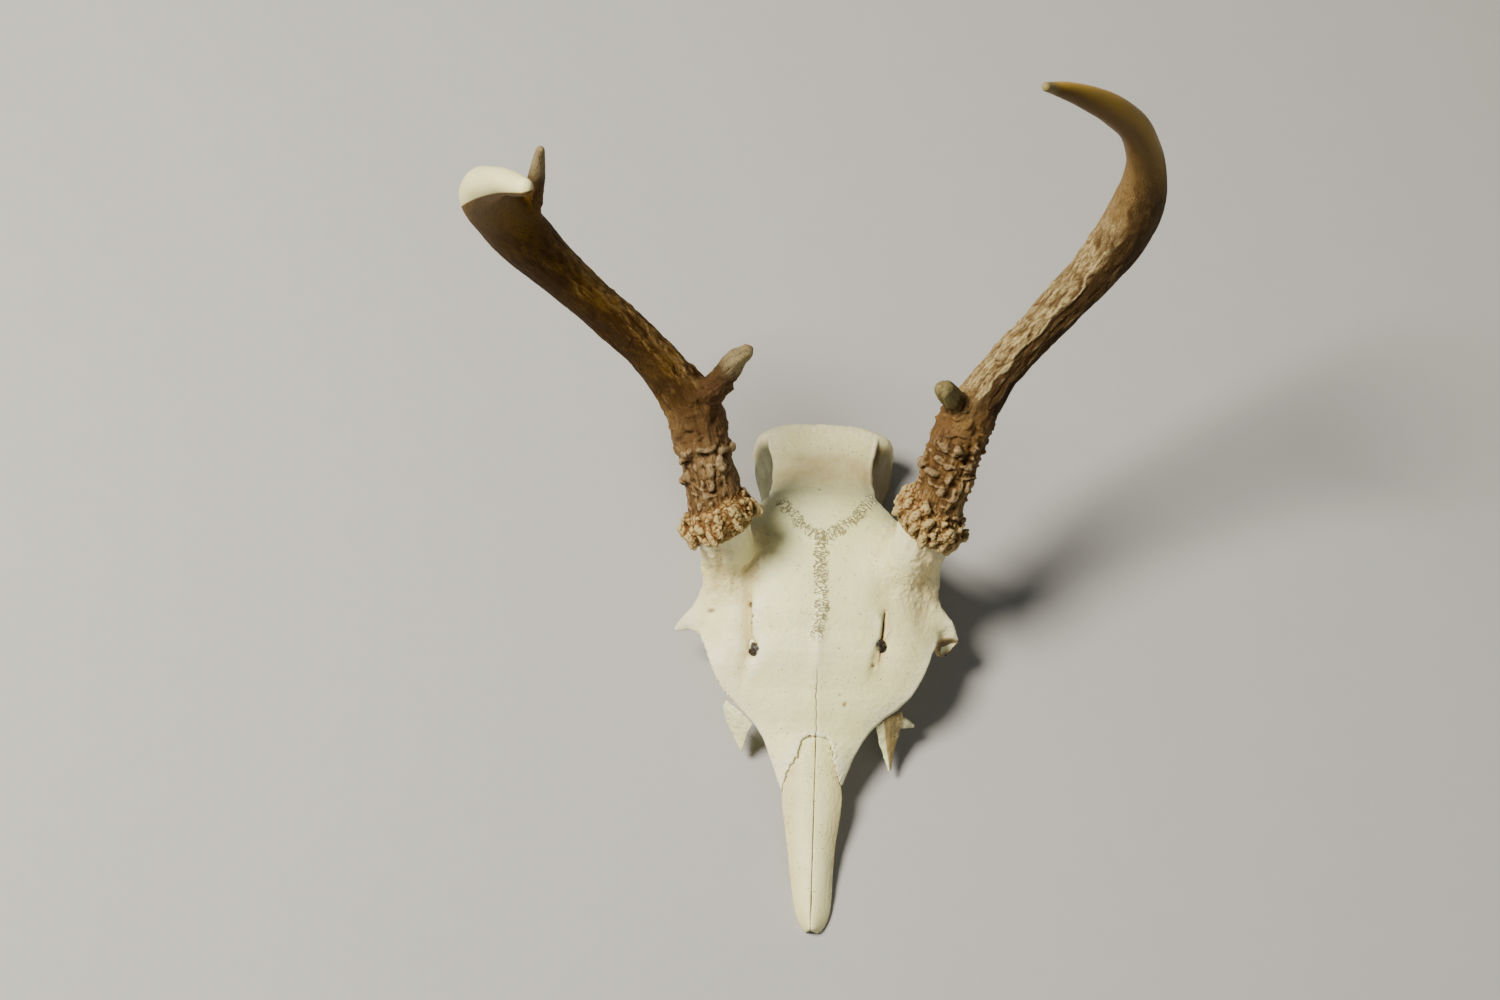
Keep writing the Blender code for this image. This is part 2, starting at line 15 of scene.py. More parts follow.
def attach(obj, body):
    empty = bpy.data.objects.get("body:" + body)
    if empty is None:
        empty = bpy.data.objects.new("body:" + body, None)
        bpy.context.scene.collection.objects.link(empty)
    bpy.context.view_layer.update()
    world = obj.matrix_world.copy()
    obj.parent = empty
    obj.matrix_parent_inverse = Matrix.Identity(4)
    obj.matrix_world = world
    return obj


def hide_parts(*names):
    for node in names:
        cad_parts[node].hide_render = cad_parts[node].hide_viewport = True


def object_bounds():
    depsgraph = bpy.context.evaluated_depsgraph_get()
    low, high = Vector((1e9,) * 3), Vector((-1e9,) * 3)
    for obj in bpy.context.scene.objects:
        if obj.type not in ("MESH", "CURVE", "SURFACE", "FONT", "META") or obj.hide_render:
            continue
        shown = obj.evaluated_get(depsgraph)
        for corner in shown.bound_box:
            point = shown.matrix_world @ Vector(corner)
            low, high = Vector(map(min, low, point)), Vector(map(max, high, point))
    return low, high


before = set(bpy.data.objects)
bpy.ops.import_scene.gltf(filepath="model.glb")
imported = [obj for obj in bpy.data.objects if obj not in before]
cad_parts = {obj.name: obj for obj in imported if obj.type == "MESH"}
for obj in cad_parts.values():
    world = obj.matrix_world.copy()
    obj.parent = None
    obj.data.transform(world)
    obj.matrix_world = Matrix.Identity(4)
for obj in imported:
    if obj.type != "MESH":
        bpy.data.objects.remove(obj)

cad_low, cad_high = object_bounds()

MM = 0.001
EDGE = 0.00001  # how far every piece stays inside the box of the CAD model, in metres
LINE_STEP = 0.5  # between the samples of a centre-line
TUBE_STEP = 1.2  # between the rings of a tube along a centre-line
TUBE_END = (25, 50, 72)  # angles of the rings that round off a tube's tip
ANTLER_FACE = 0.45  # size of the faces of an antler, and then of each bone
CRANIUM_FACE = 0.42
NASAL_FACE = 0.34
SHARD_FACE = 0.33
DEPTH_LIMIT = 1.5  # crevices and ridges count no further than this, in full depths
GRAIN_STRETCH = 3.8  # how much longer than wide the streaks of the antler material are

# Centre-lines of the antlers: x, y, z, radius. The first station is the middle of the burr.
RIGHT_BEAM = [(-42.4, -62.5, 70, 11.6), (-45.6, -51.3, 80, 10.6), (-49.4, -41.3, 90, 10.8), (-54, -31, 101, 11),
    (-64, -21.6, 111, 9.2), (-76, -13.2, 121, 8.4), (-98.5, -1.5, 139, 8.7), (-109.5, 3.6, 149, 9.9),
    (-119.5, 7.3, 161, 11.2), (-127.2, 8, 176, 11), (-131, 3.2, 194, 10.2), (-130, -6.8, 216, 8),
    (-125.2, -19, 238, 6.1), (-118.6, -32.6, 260, 4.9), (-112.2, -45.6, 278.2, 4), (-108.2, -53.2, 288.6, 3.1)]
LEFT_BEAM = [(43.2, -60.4, 70, 11.6), (46.9, -51.6, 80, 10.6), (49.9, -41.8, 90, 10.8), (55, -31.6, 101, 10.8),
    (63.3, -21.5, 111, 8.5), (73.1, -12.2, 121, 8.1), (92.1, 3.4, 139, 8.7), (101.6, 10.8, 150, 9.3),
    (109.2, 17.5, 163, 10.2), (113.3, 21.8, 177, 10), (113.8, 23.4, 193, 8.3), (111.2, 23.3, 209, 6.8),
    (105, 21.8, 227, 6), (95.5, 17.8, 243, 5.6), (85.4, 12.5, 257, 4.6), (75.6, 6.4, 270, 3.3),
    (66.8, -0.2, 281, 1.8)]
RIGHT_BROW = [(-52.2, -31.8, 99, 7.8), (-47.6, -29.5, 108.6, 6.3), (-42, -28.2, 121.8, 5.2), (-37, -28.1, 135.4, 4.2),
    (-33, -29.2, 144, 3)]
LEFT_BROW = [(54.4, -31.5, 99, 6.6), (51, -30.8, 107, 5.6), (47.2, -31.2, 116.5, 4.7), (44.2, -32.4, 124.8, 4)]
UPPER_TINE = [(-119, 10, 163, 5.6), (-117, 12.6, 174, 4.6), (-114.4, 15.2, 187, 3.7), (-111.6, 17.4, 206, 1.8)]

# The burrs: how far each one's middle sits above the first station, its core as heights and radii, and the rows
# of lumps round it: height, distance out, count, length, width, reach, and how far they lean out.
BURR_LIFT = 1.2
BURR_CORE = [(-10.2, 10.0), (-7.6, 11.8), (-6.2, 13.0), (-3, 14.1), (1, 13.6), (3.4, 12.2), (5.4, 10.4)]
BURR_ROWS = [(-4.6, 13.9, 17, 4, 1.6, 2.2, -0.15), (-1, 14.4, 14, 3.3, 1.8, 2.1, 0.25),
    (2.4, 12.9, 10, 2.7, 1.6, 1.5, 0.8), (4.6, 11.4, 7, 2.4, 1.2, 1.1, 1), (-2.5, 15.4, 7, 1.5, 1.2, 1.2, 0),
    (1, 14.8, 6, 1.4, 1.2, 1.1, 0.3)]

# Lumps set on each antler's base: length and angle along it, size along, across and out, and turn.
RIGHT_MARKS = [(31, -132, 4, 2, 2.2, 80), (32, -110, 3.6, 1.9, 2.1, 95), (30.8, -88, 3.8, 2, 2.2, 85),
    (28, -55, 3.4, 1.8, 1.9, 100), (27, -31, 2.8, 1.8, 2, 80), (27.5, -153, 2.6, 2.2, 2.6, 40),
    (18, -172, 2.6, 2.2, 2.9, 30), (24, -72, 3.4, 1.5, 1.5, 5), (20, -98, 5, 1.3, 1.3, 4),
    (14.5, -120, 4, 1.3, 1.3, -6), (38, -150, 2.4, 1.6, 1.8, 60), (50.5, -72, 4, 1.5, 1, 75)]
LEFT_MARKS = [(23.5, 174, 2.8, 2, 2.3, 75), (21.5, -157, 3.8, 1.8, 2.1, 85), (33, -147, 3.8, 1.8, 2, 90),
    (33, -120, 2.6, 2, 1.9, 30), (27.5, -150, 2.6, 1.8, 1.8, 80), (16.5, -93, 6, 1.3, 1.6, 8),
    (13, -104, 6, 1.3, 1.6, 5), (21, -118, 3, 2, 1.8, 20), (18.5, -66, 2.8, 1.9, 2.1, 20), (28, -90, 3, 1.8, 1.7, 70)]

# Pits set on each base: length and angle along it, width and depth.
RIGHT_PITS = [(24, -110, 1, 1.3), (18, -141, 0.8, 1), (14.5, -79, 1.5, 1.4), (47, -69, 1.6, 1.5), (41, -55, 1.8, 1.4),
    (38.5, -127, 1.5, 1.4), (28.5, -100, 1.7, 2), (26, -60, 1.5, 1.6), (20, -68, 1.6, 1.4), (26, -138, 1.3, 1.3),
    (12, -100, 1, 0.9), (9.5, -70, 1, 1)]
LEFT_PITS = [(29.5, -91, 2.4, 2.6), (21.5, -93, 1.3, 1.7), (30.5, -148, 1.2, 1.2), (24.5, -152, 1, 1),
    (18.5, -101, 1.1, 1.3), (36, -94, 0.9, 1.1), (14, -112, 1, 1.1), (10, -85, 1.2, 1.3), (25, -118, 0.9, 1)]

# The polished tips. The right one has a cream upper side, partly its own polish and partly painted light, which is
# placed by a point on its edge, the way that it faces, and the span and depth of the edge's bow. Then come the lengths
# over which each
# polish starts: the left one grows slowly out of the ridges of the beam.
CREAM_EDGE = np.array([-140.0, -8.0, 205.0])
CREAM_WAY = np.array([-0.2535, 0.7984, 0.5463])
CREAM_SPAN = 31
CREAM_BOW = 7.6
CREAM_START = (174, 184)
OCHRE_START = (155, 215)

# Paths on the skull in plan, x and y: the sutures and the grooves that run to the holes over the orbits.
CORONAL = [(-23.5, -27), (-19.5, -36), (-16.6, -42.7), (-12.5, -49), (-8.7, -54.7), (-4, -58), (0.7, -60.2), (4, -59),
    (7.2, -56.6), (12.9, -50.9), (17, -44), (20.6, -36.8), (23.5, -29)]
MIDLINE = [(0.4, -60), (-0.3, -71), (0.4, -82), (0.6, -92), (-0.4, -103), (-0.6, -110), (-0.4, -117.6),
    (-0.5, -124.7), (-0.2, -131), (0, -137)]
NASAL_RIGHT = [(-0.9, -137.4), (-5.4, -138.4), (-7.4, -145), (-10.4, -150), (-12.6, -156)]
NASAL_LEFT = [(0.9, -137.4), (5.2, -138.4), (7.0, -145), (8.6, -150), (10.9, -156)]
BETWEEN_NASALS = [(0, -137), (0, -212)]
RIGHT_GROOVE = [(-21, -63), (-23, -69.5), (-25, -75), (-27.1, -81.2), (-28.5, -84.8), (-29, -88), (-28.9, -92.5),
    (-28.6, -97.5), (-28.1, -101.8), (-27.2, -104.4)]
RIGHT_OUTLET = [(-26.9, -107.4), (-28.9, -109.6), (-29.9, -112.5), (-30.5, -117.5), (-31.5, -123)]
LEFT_GROOVE = [(23.6, -70), (25, -79.9), (25.6, -86.3), (26.5, -91.4), (26.2, -94.9), (25.9, -98.7), (25.4, -103)]
LEFT_OUTLET = [(24.9, -105), (23.3, -107.8), (22.1, -112.5), (21.3, -116.6), (21.0, -122)]
HORN_PLACE = (38, -67)  # middle of each pedicle in plan
ORBIT_HOLES = [(-26.3, -107), (25.4, -104)]  # the two large holes over the orbits
# Small holes: x, y, radius, depth and the darkness of the painted shade inside them.
SMALL_HOLES = [(-28.9, -89.1, 0.9, 1.1, 1), (-27.6, -94, 0.6, 0.8, 0.9), (-28, -96.6, 0.5, 0.5, 0.8),
    (-28.2, -103.6, 0.8, 1, 0.9), (-44.1, -89.6, 0.7, 0.5, 0.5), (-1.1, -34.2, 0.5, 0.8, 0.9),
    (11.2, -126, 0.8, 0.5, 0.4), (22.3, -112, 0.9, 0.8, 0.4), (9, -122.5, 0.4, 0.4, 0.3)]
STUB_FACE = np.array([52.9, -96.0, 22.8])  # middle of the broken stub's face, and the way that it faces
STUB_WAY = np.array([0.145, -0.92, 0.36])


# Numbers: rows of vectors, soft steps and hills, and repeatable noise in the units of its points.

def dots(a, b):
    """The dot product of each pair of rows."""
    return np.einsum("ij,ij->i", a, b)


def norms(rows):
    return np.linalg.norm(rows, axis=1)


def units(rows, least=0.0):
    """Each row made one long, or less where it is shorter than the least length."""
    return rows / np.maximum(norms(rows), least)[:, None]


def unit(vector):
    return vector / np.linalg.norm(vector)


def ramp(x, low, high):
    """0 below low, 1 above high, smooth between. It falls where low is above high."""
    t = np.clip((x - low) / (high - low), 0, 1)
    return t * t * (3 - 2 * t)


def hill(x, width):
    """1 where x is 0, falling away on both sides over that width."""
    return np.exp(-(x / width) ** 2)


def scatter(cell, seed):
    """Repeatable random numbers from 0 to 1 for whole-number cells."""
    n = (cell[..., 0] * 73856093) ^ (cell[..., 1] * 19349663) ^ (cell[..., 2] * 83492791) ^ (seed * 97531 + 1)
    n = (n & 0x7FFFFFFF) * 48271 % 0x7FFFFFFF
    n = (n ^ (n >> 15)) * 16807 % 0x7FFFFFFF
    return n / 0x7FFFFFFF


def scatter_3(cell, seed):
    """Three such numbers for each cell."""
    return np.stack([scatter(cell, seed * 3 + k) for k in range(3)], axis=-1)


def noise(p, seed):
    """Smooth gradient noise, from about -1 to 1."""
    cell = np.floor(p).astype(np.int64)
    f = p - cell
    fade = f * f * f * (f * (f * 6 - 15) + 10)
    total = np.zeros(len(p))
    for corner in np.ndindex(2, 2, 2):
        slope = scatter_3(cell + np.array(corner), seed) * 2 - 1
        total += np.prod(np.where(corner, fade, 1 - fade), axis=1) * dots(slope, f - corner)
    return total * 1.6


def fractal(p, seed, octaves):
    """Noise summed over finer and finer scales."""
    return sum(noise(p * 2 ** k, seed + 10 * k) / 2 ** k for k in range(octaves)) / (2 - 2 ** (1 - octaves))


def cells(p, seed):
    """Distance to the nearest scattered point, how much further the second is, and a number for the nearest."""
    home = np.floor(p).astype(np.int64)
    first, second = np.full((2, len(p)), 9.0)
    number = np.zeros(len(p))
    for step in np.ndindex(3, 3, 3):
        at = home + np.array(step) - 1
        gap = norms(p - (at + scatter_3(at, seed)))
        nearer = gap < first
        second = np.where(nearer, first, np.minimum(second, gap))
        number = np.where(nearer, scatter(at, seed * 3 + 7), number)
        first = np.where(nearer, gap, first)
    return first, second - first, number


# Meshes: points and faces as arrays, in millimetres.

def rings(centre, radius, side, other, count):
    """Rings of points round centres, in the plane of two directions."""
    a = np.linspace(0, 2 * math.pi, count, endpoint=False)[:, None]
    ray = np.cos(a) * np.atleast_2d(side)[:, None] + np.sin(a) * np.atleast_2d(other)[:, None]
    return centre[:, None] + radius[:, None, None] * ray


def skin(loops):
    """Points and faces of a closed body through rings of points."""
    rows, count = loops.shape[:2]
    points = np.vstack([loops.reshape(-1, 3), loops[0].mean(0), loops[-1].mean(0)])
    around = [(k, (k + 1) % count) for k in range(count)]
    last = (rows - 1) * count
    faces = [(r + k, r + n, r + count + n, r + count + k) for r in range(0, last, count) for k, n in around]
    for k, n in around:
        faces += [(last + count, n, k), (last + count + 1, last + k, last + n)]
    return points, faces


def lump(centre, along, out, length, width, reach, seed):
    """Points and faces of a slightly uneven rounded lump, drawn out along one direction."""
    along = unit(along)
    out = unit(out - along * out.dot(along))
    side = np.cross(along, out)
    polar = np.linspace(0.12, math.pi - 0.12, 7)[:, None, None]
    a = np.linspace(0, 2 * math.pi, 12, endpoint=False)[:, None]
    rows = (centre + np.cos(polar) * along * length
            + np.sin(polar) * (np.cos(a) * out * reach + np.sin(a) * side * width))
    flat = rows.reshape(-1, 3)
    wobble = 1 + 0.12 * noise(flat / 2.2, seed)[:, None]
    return skin((centre + (flat - centre) * wobble).reshape(rows.shape))


class Line:
    """A smooth centre-line through stations of x, y, z and radius, sampled evenly along its length."""

    def __init__(self, stations):
        rows = np.array(stations, float)
        ends = np.vstack([rows[:1], rows, rows[-1:]])
        t = np.linspace(0, 1, 60, endpoint=False)[:, None]
        spans = [0.5 * (2 * b + (c - a) * t + (2 * a - 5 * b + 4 * c - d) * t ** 2 + (3 * b - a - 3 * c + d) * t ** 3)
                 for a, b, c, d in zip(ends, ends[1:], ends[2:], ends[3:])]
        path = np.vstack([*spans, rows[-1:]])
        travel = np.concatenate([[0], np.cumsum(norms(np.diff(path[:, :3], axis=0)))])
        self.length = travel[-1]
        self.at = np.linspace(0, self.length, int(self.length / LINE_STEP) + 1)
        even = np.stack([np.interp(self.at, travel, column) for column in path.T], axis=1)
        self.points = even[:, :3]
        self.radius = even[:, 3]
        self.along = units(np.gradient(self.points, axis=0))
        side = np.cross(self.along[0], (0.3, -0.9, 0.2))
        self.side = np.zeros_like(self.along)
        for k, a in enumerate(self.along):
            side = unit(side - a * side.dot(a))
            self.side[k] = side
        self.other = np.cross(self.along, self.side)

    def sample(self, s):
        """The sample at a length along the line."""
        return int(np.searchsorted(self.at, s))

    def outward(self, s, angle):
        """The sample at a length along the line, and the way out of the line there at an angle."""
        k = self.sample(s)
        t = math.radians(angle)
        return k, math.cos(t) * self.side[k] + math.sin(t) * self.other[k]

    def locate(self, p, block=20000):
        """For each point: index of the nearest sample, offset from it along side and other, and the length there."""
        near = np.zeros(len(p), int)
        square = (self.points ** 2).sum(1)
        for start in range(0, len(p), block):
            some = slice(start, start + block)
            near[some] = np.argmin(square - 2 * p[some] @ self.points.T, axis=1)
        off = p - self.points[near]
        slip, u, v = (dots(off, way[near]) for way in (self.along, self.side, self.other))
        return near, u, v, self.at[near] + slip

    def tube(self, start):
        """Points and faces of a closed round body along the line, with a rounded end at its tip."""
        stops = np.linspace(start, self.length, max(4, int((self.length - start) / TUBE_STEP)))
        centre = np.stack([np.interp(stops, self.at, column) for column in self.points.T], axis=1)
        radius = np.interp(stops, self.at, self.radius)
        index = np.clip(np.searchsorted(self.at, stops), 0, len(self.at) - 1)
        turns = [math.radians(turn) for turn in TUBE_END]
        centre = np.vstack([centre] + [centre[-1] + self.along[-1] * (radius[-1] * math.sin(t)) for t in turns])
        radius = np.append(radius, [radius[-1] * math.cos(t) for t in turns])
        index = np.append(index, [index[-1]] * len(turns))
        return skin(rings(centre, radius, self.side[index], self.other[index], 40))


class Skin:
    """An even skin of four-cornered faces that can be smoothed, measured and pushed about."""

    def __init__(self, points, faces):
        self.points = points
        self.faces = faces
        pairs = np.vstack([faces[:, [k, (k + 1) % 4]] for k in range(4)])
        pairs = np.unique(np.sort(pairs, axis=1), axis=0)
        self.ends = np.concatenate([pairs[:, 0], pairs[:, 1]])
        self.others = np.concatenate([pairs[:, 1], pairs[:, 0]])
        self.degree = np.bincount(self.ends, minlength=len(points))

    def mean(self, what):
        """The mean of a value over the neighbours of each point."""
        if what.ndim == 1:
            return np.bincount(self.ends, what[self.others], len(self.points)) / self.degree
        return np.stack([self.mean(column) for column in what.T], axis=1)

    def smoothed(self, what, rounds):
        for _ in range(rounds):
            what = what + (self.mean(what) - what) * 0.5
        return what

    def draw_in(self, share, weight):
        """Move each point some way towards the mean of its neighbours."""
        self.points = self.points + (self.mean(self.points) - self.points) * share * np.reshape(weight, (-1, 1))

    def relax(self, rounds, weight):
        """Smooth the points, without the shrinking of plain smoothing."""
        for _ in range(rounds):
            self.draw_in(0.55, weight)
            self.draw_in(-0.56, weight)

    def sink(self, rounds, weight):
        """Plain smoothing, which fills narrow hollows and wears down edges."""
        for _ in range(rounds):
            self.draw_in(0.6, weight)

    def normals(self):
        a, b, c, d = (self.points[self.faces[:, k]] for k in range(4))
        face = np.cross(c - a, d - b)
        total = np.zeros_like(self.points)
        for k in range(4):
            for axis in range(3):
                total[:, axis] += np.bincount(self.faces[:, k], face[:, axis], len(self.points))
        return units(total, 1e-9)

    def push(self, height):
        self.points = self.points + self.normals() * height[:, None]

    def lift_to_floor(self):
        self.points[:, 2] = np.maximum(self.points[:, 2], 0.0)

    def depth(self, rounds, full):
        """How far each point lies below the smoothed skin, in full depths: negative on a ridge."""
        below = dots(self.smoothed(self.points, rounds) - self.points, self.normals())
        return np.clip(below / full, -DEPTH_LIMIT, DEPTH_LIMIT)

    def bowl(self):
        """How far each point lies below its wider surroundings, from the same smoothing done on coarse cells."""
        home = np.unique(np.floor(self.points / 2.0).astype(int), axis=0, return_inverse=True)[1].ravel()
        count = np.bincount(home)
        centre = np.stack([np.bincount(home, column) / count for column in self.points.T], axis=1)
        pairs = np.unique(np.stack([home[self.ends], home[self.others]], axis=1), axis=0)
        here, there = pairs[pairs[:, 0] != pairs[:, 1]].T
        degree = np.bincount(here, minlength=len(count))
        place = centre.copy()
        for _ in range(20):
            mean = np.stack([np.bincount(here, column[there], len(count)) for column in place.T], axis=1)
            place += (mean / degree[:, None] - place) * 0.5
        return dots(self.smoothed((place - centre)[home], 12), self.normals())


def points_of(mesh):
    """The points of a Blender mesh, as rows."""
    flat = np.zeros(len(mesh.vertices) * 3)
    mesh.vertices.foreach_get("co", flat)
    return flat.reshape(-1, 3)


def placed(name, data):
    """An object in the scene."""
    made = bpy.data.objects.new(name, data)
    bpy.context.scene.collection.objects.link(made)
    return made


def fused(name, parts, size):
    """One even skin of faces of that size round closed bodies, each given as points and faces."""
    points, faces = [], []
    for p, f in parts:
        base = len(points)
        points += p.tolist()
        faces += [[i + base for i in face] for face in f]
    mesh = bpy.data.meshes.new(name)
    mesh.from_pydata(points, [], faces)
    mesh.update()
    held = placed("fusing", mesh)
    step = held.modifiers.new("even", "REMESH")
    step.mode = "VOXEL"
    step.voxel_size = size
    step.use_smooth_shade = True
    made = bpy.data.meshes.new_from_object(held.evaluated_get(bpy.context.evaluated_depsgraph_get()))
    corners = np.zeros(len(made.loops), int)
    made.loops.foreach_get("vertex_index", corners)
    form = Skin(points_of(made), corners.reshape(-1, 4))
    bpy.data.objects.remove(held, do_unlink=True)
    bpy.data.meshes.remove(made)
    return form


def piece(name, form, material, slot, nodes, **values):
    """A finished piece of the visual model from a skin, standing for CAD nodes. The values are kept on its mesh."""
    mesh = bpy.data.meshes.new(name)
    inside = np.clip(form.points * MM, np.array(cad_low) + EDGE, np.array(cad_high) - EDGE)
    mesh.from_pydata(inside.tolist(), [], form.faces.tolist(), shade_flat=False)
    mesh.update(calc_edges=True)
    mesh.validate()
    for key, amount in values.items():
        kind, field = ("FLOAT_VECTOR", "vector") if amount.ndim == 2 else ("FLOAT", "value")
        layer = mesh.attributes.new(key, kind, "POINT")
        layer.data.foreach_set(field, amount.astype(np.float32).ravel())
    made = placed(name, mesh)
    made.data.materials.append(material)
    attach(made, "root")
    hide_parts(*nodes)


# Materials.

class Paint:
    """A short way to write the nodes of a material."""

    def __init__(self, name):
        self.made = bpy.data.materials.new(name)
        self.made.use_nodes = True
        self.tree = self.made.node_tree
        self.shader = self.tree.nodes["Principled BSDF"]
        self.place = self.tree.nodes.new("ShaderNodeTexCoord").outputs["Object"]

    def node(self, kind, *inputs, **settings):
        made = self.tree.nodes.new("ShaderNode" + kind)
        for key, amount in settings.items():
            setattr(made, key, amount)
        for k, amount in enumerate(inputs):
            self.feed(made.inputs[k], amount)
        return made

    def feed(self, socket, amount):
        if isinstance(amount, bpy.types.NodeSocket):
            self.tree.links.new(amount, socket)
        elif isinstance(amount, tuple) and socket.type == "RGBA":
            socket.default_value = (*amount, 1)
        else:
            socket.default_value = amount

    def fill(self, node, **inputs):
        """Feed the named inputs of a node."""
        for key, amount in inputs.items():
            self.feed(node.inputs[key.replace("_", " ")], amount)
        return node

    def value(self, key, kind="Fac"):
        """What the mesh keeps under that key: a number, or else a Vector."""
        return self.node("Attribute", attribute_name=key).outputs[kind]

    def chain(self, operation, total, *terms):
        for term in terms:
            total = self.node("Math", total, term, operation=operation).outputs[0]
        return total

    def sum(self, *terms):
        return self.chain("ADD", *terms)

    def times(self, *terms):
        return self.chain("MULTIPLY", *terms)

    def most(self, *terms):
        return self.chain("MAXIMUM", *terms)

    def size_of(self, amount):
        return self.node("Math", amount, operation="ABSOLUTE").outputs[0]

    def ramp(self, amount, low, high, out_low=0.0, out_high=1.0):
        """A smooth step from out_low to out_high while the amount goes from low to high."""
        return self.node("MapRange", amount, low, high, out_low, out_high, interpolation_type="SMOOTHSTEP").outputs[0]

    def mix(self, share, a, b):
        """Colour a where the share is 0 and colour b where it is 1."""
        made = self.node("Mix", data_type="RGBA")
        for k, amount in ((0, share), (6, a), (7, b)):
            self.feed(made.inputs[k], amount)
        return made.outputs[2]

    def coat(self, colour, *shares):
        """Lay a colour over the ones so far, by the product of the shares."""
        self.colour = self.mix(self.times(*shares), self.colour, colour)

    def clouds(self, scale, detail=3.0, rough=0.5, at=None):
        """Soft noise around 0.5. The scale is in spots to a unit of the place."""
        made = self.node("TexNoise", at or self.place)
        return self.fill(made, Scale=scale, Detail=detail, Roughness=rough).outputs["Fac"]

    def pits(self, scale):
        """Distance to the nearest of scattered points."""
        return self.fill(self.node("TexVoronoi", self.place), Scale=scale).outputs["Distance"]

    def stitches(self, key, swing, seed):
        """Short wandering strokes across a suture, in a band of uneven width. Their place comes from the mesh."""
        along, across, marked = self.node("SeparateXYZ", self.value(key, "Vector")).outputs
        at = self.node("CombineXYZ", self.times(along, 0.8), self.times(across, 0.336), seed).outputs[0]
        strokes = self.fill(self.node("TexNoise", at), Scale=1, Detail=1.5, Distortion=0.7).outputs["Fac"]
        line = self.ramp(self.size_of(self.sum(strokes, -0.5)), 0.085, 0.035)
        reach = self.ramp(self.clouds(300, 2), 0.35, 0.65, -0.35 * swing, 0.2 * swing)
        close = self.ramp(self.sum(self.size_of(across), reach), swing * 1.1, swing * 0.75)
        broken = self.ramp(self.clouds(420, 2), 0.34, 0.46)
        return self.times(line, close, marked, broken)

    def thin_line(self, key, width):
        """A thin, slightly wandering line along a suture."""
        across, marked = self.node("SeparateXYZ", self.value(key, "Vector")).outputs[1:]
        drift = self.times(self.sum(self.clouds(250, 2), -0.5), 1.6)
        return self.times(self.ramp(self.size_of(self.sum(across, drift)), width, width * 0.4), marked)

    def bump(self, height, depth, **below):
        """A bump from a height that goes from 0 to 1 over that depth in metres, on top of another one's Normal."""
        return self.fill(self.node("Bump"), Strength=1.0, Distance=depth, Height=height, **below).outputs["Normal"]

    def finish(self, rough, normal, **shader):
        self.fill(self.shader, Base_Color=self.colour, Roughness=rough, Normal=normal, **shader)
        return self.made


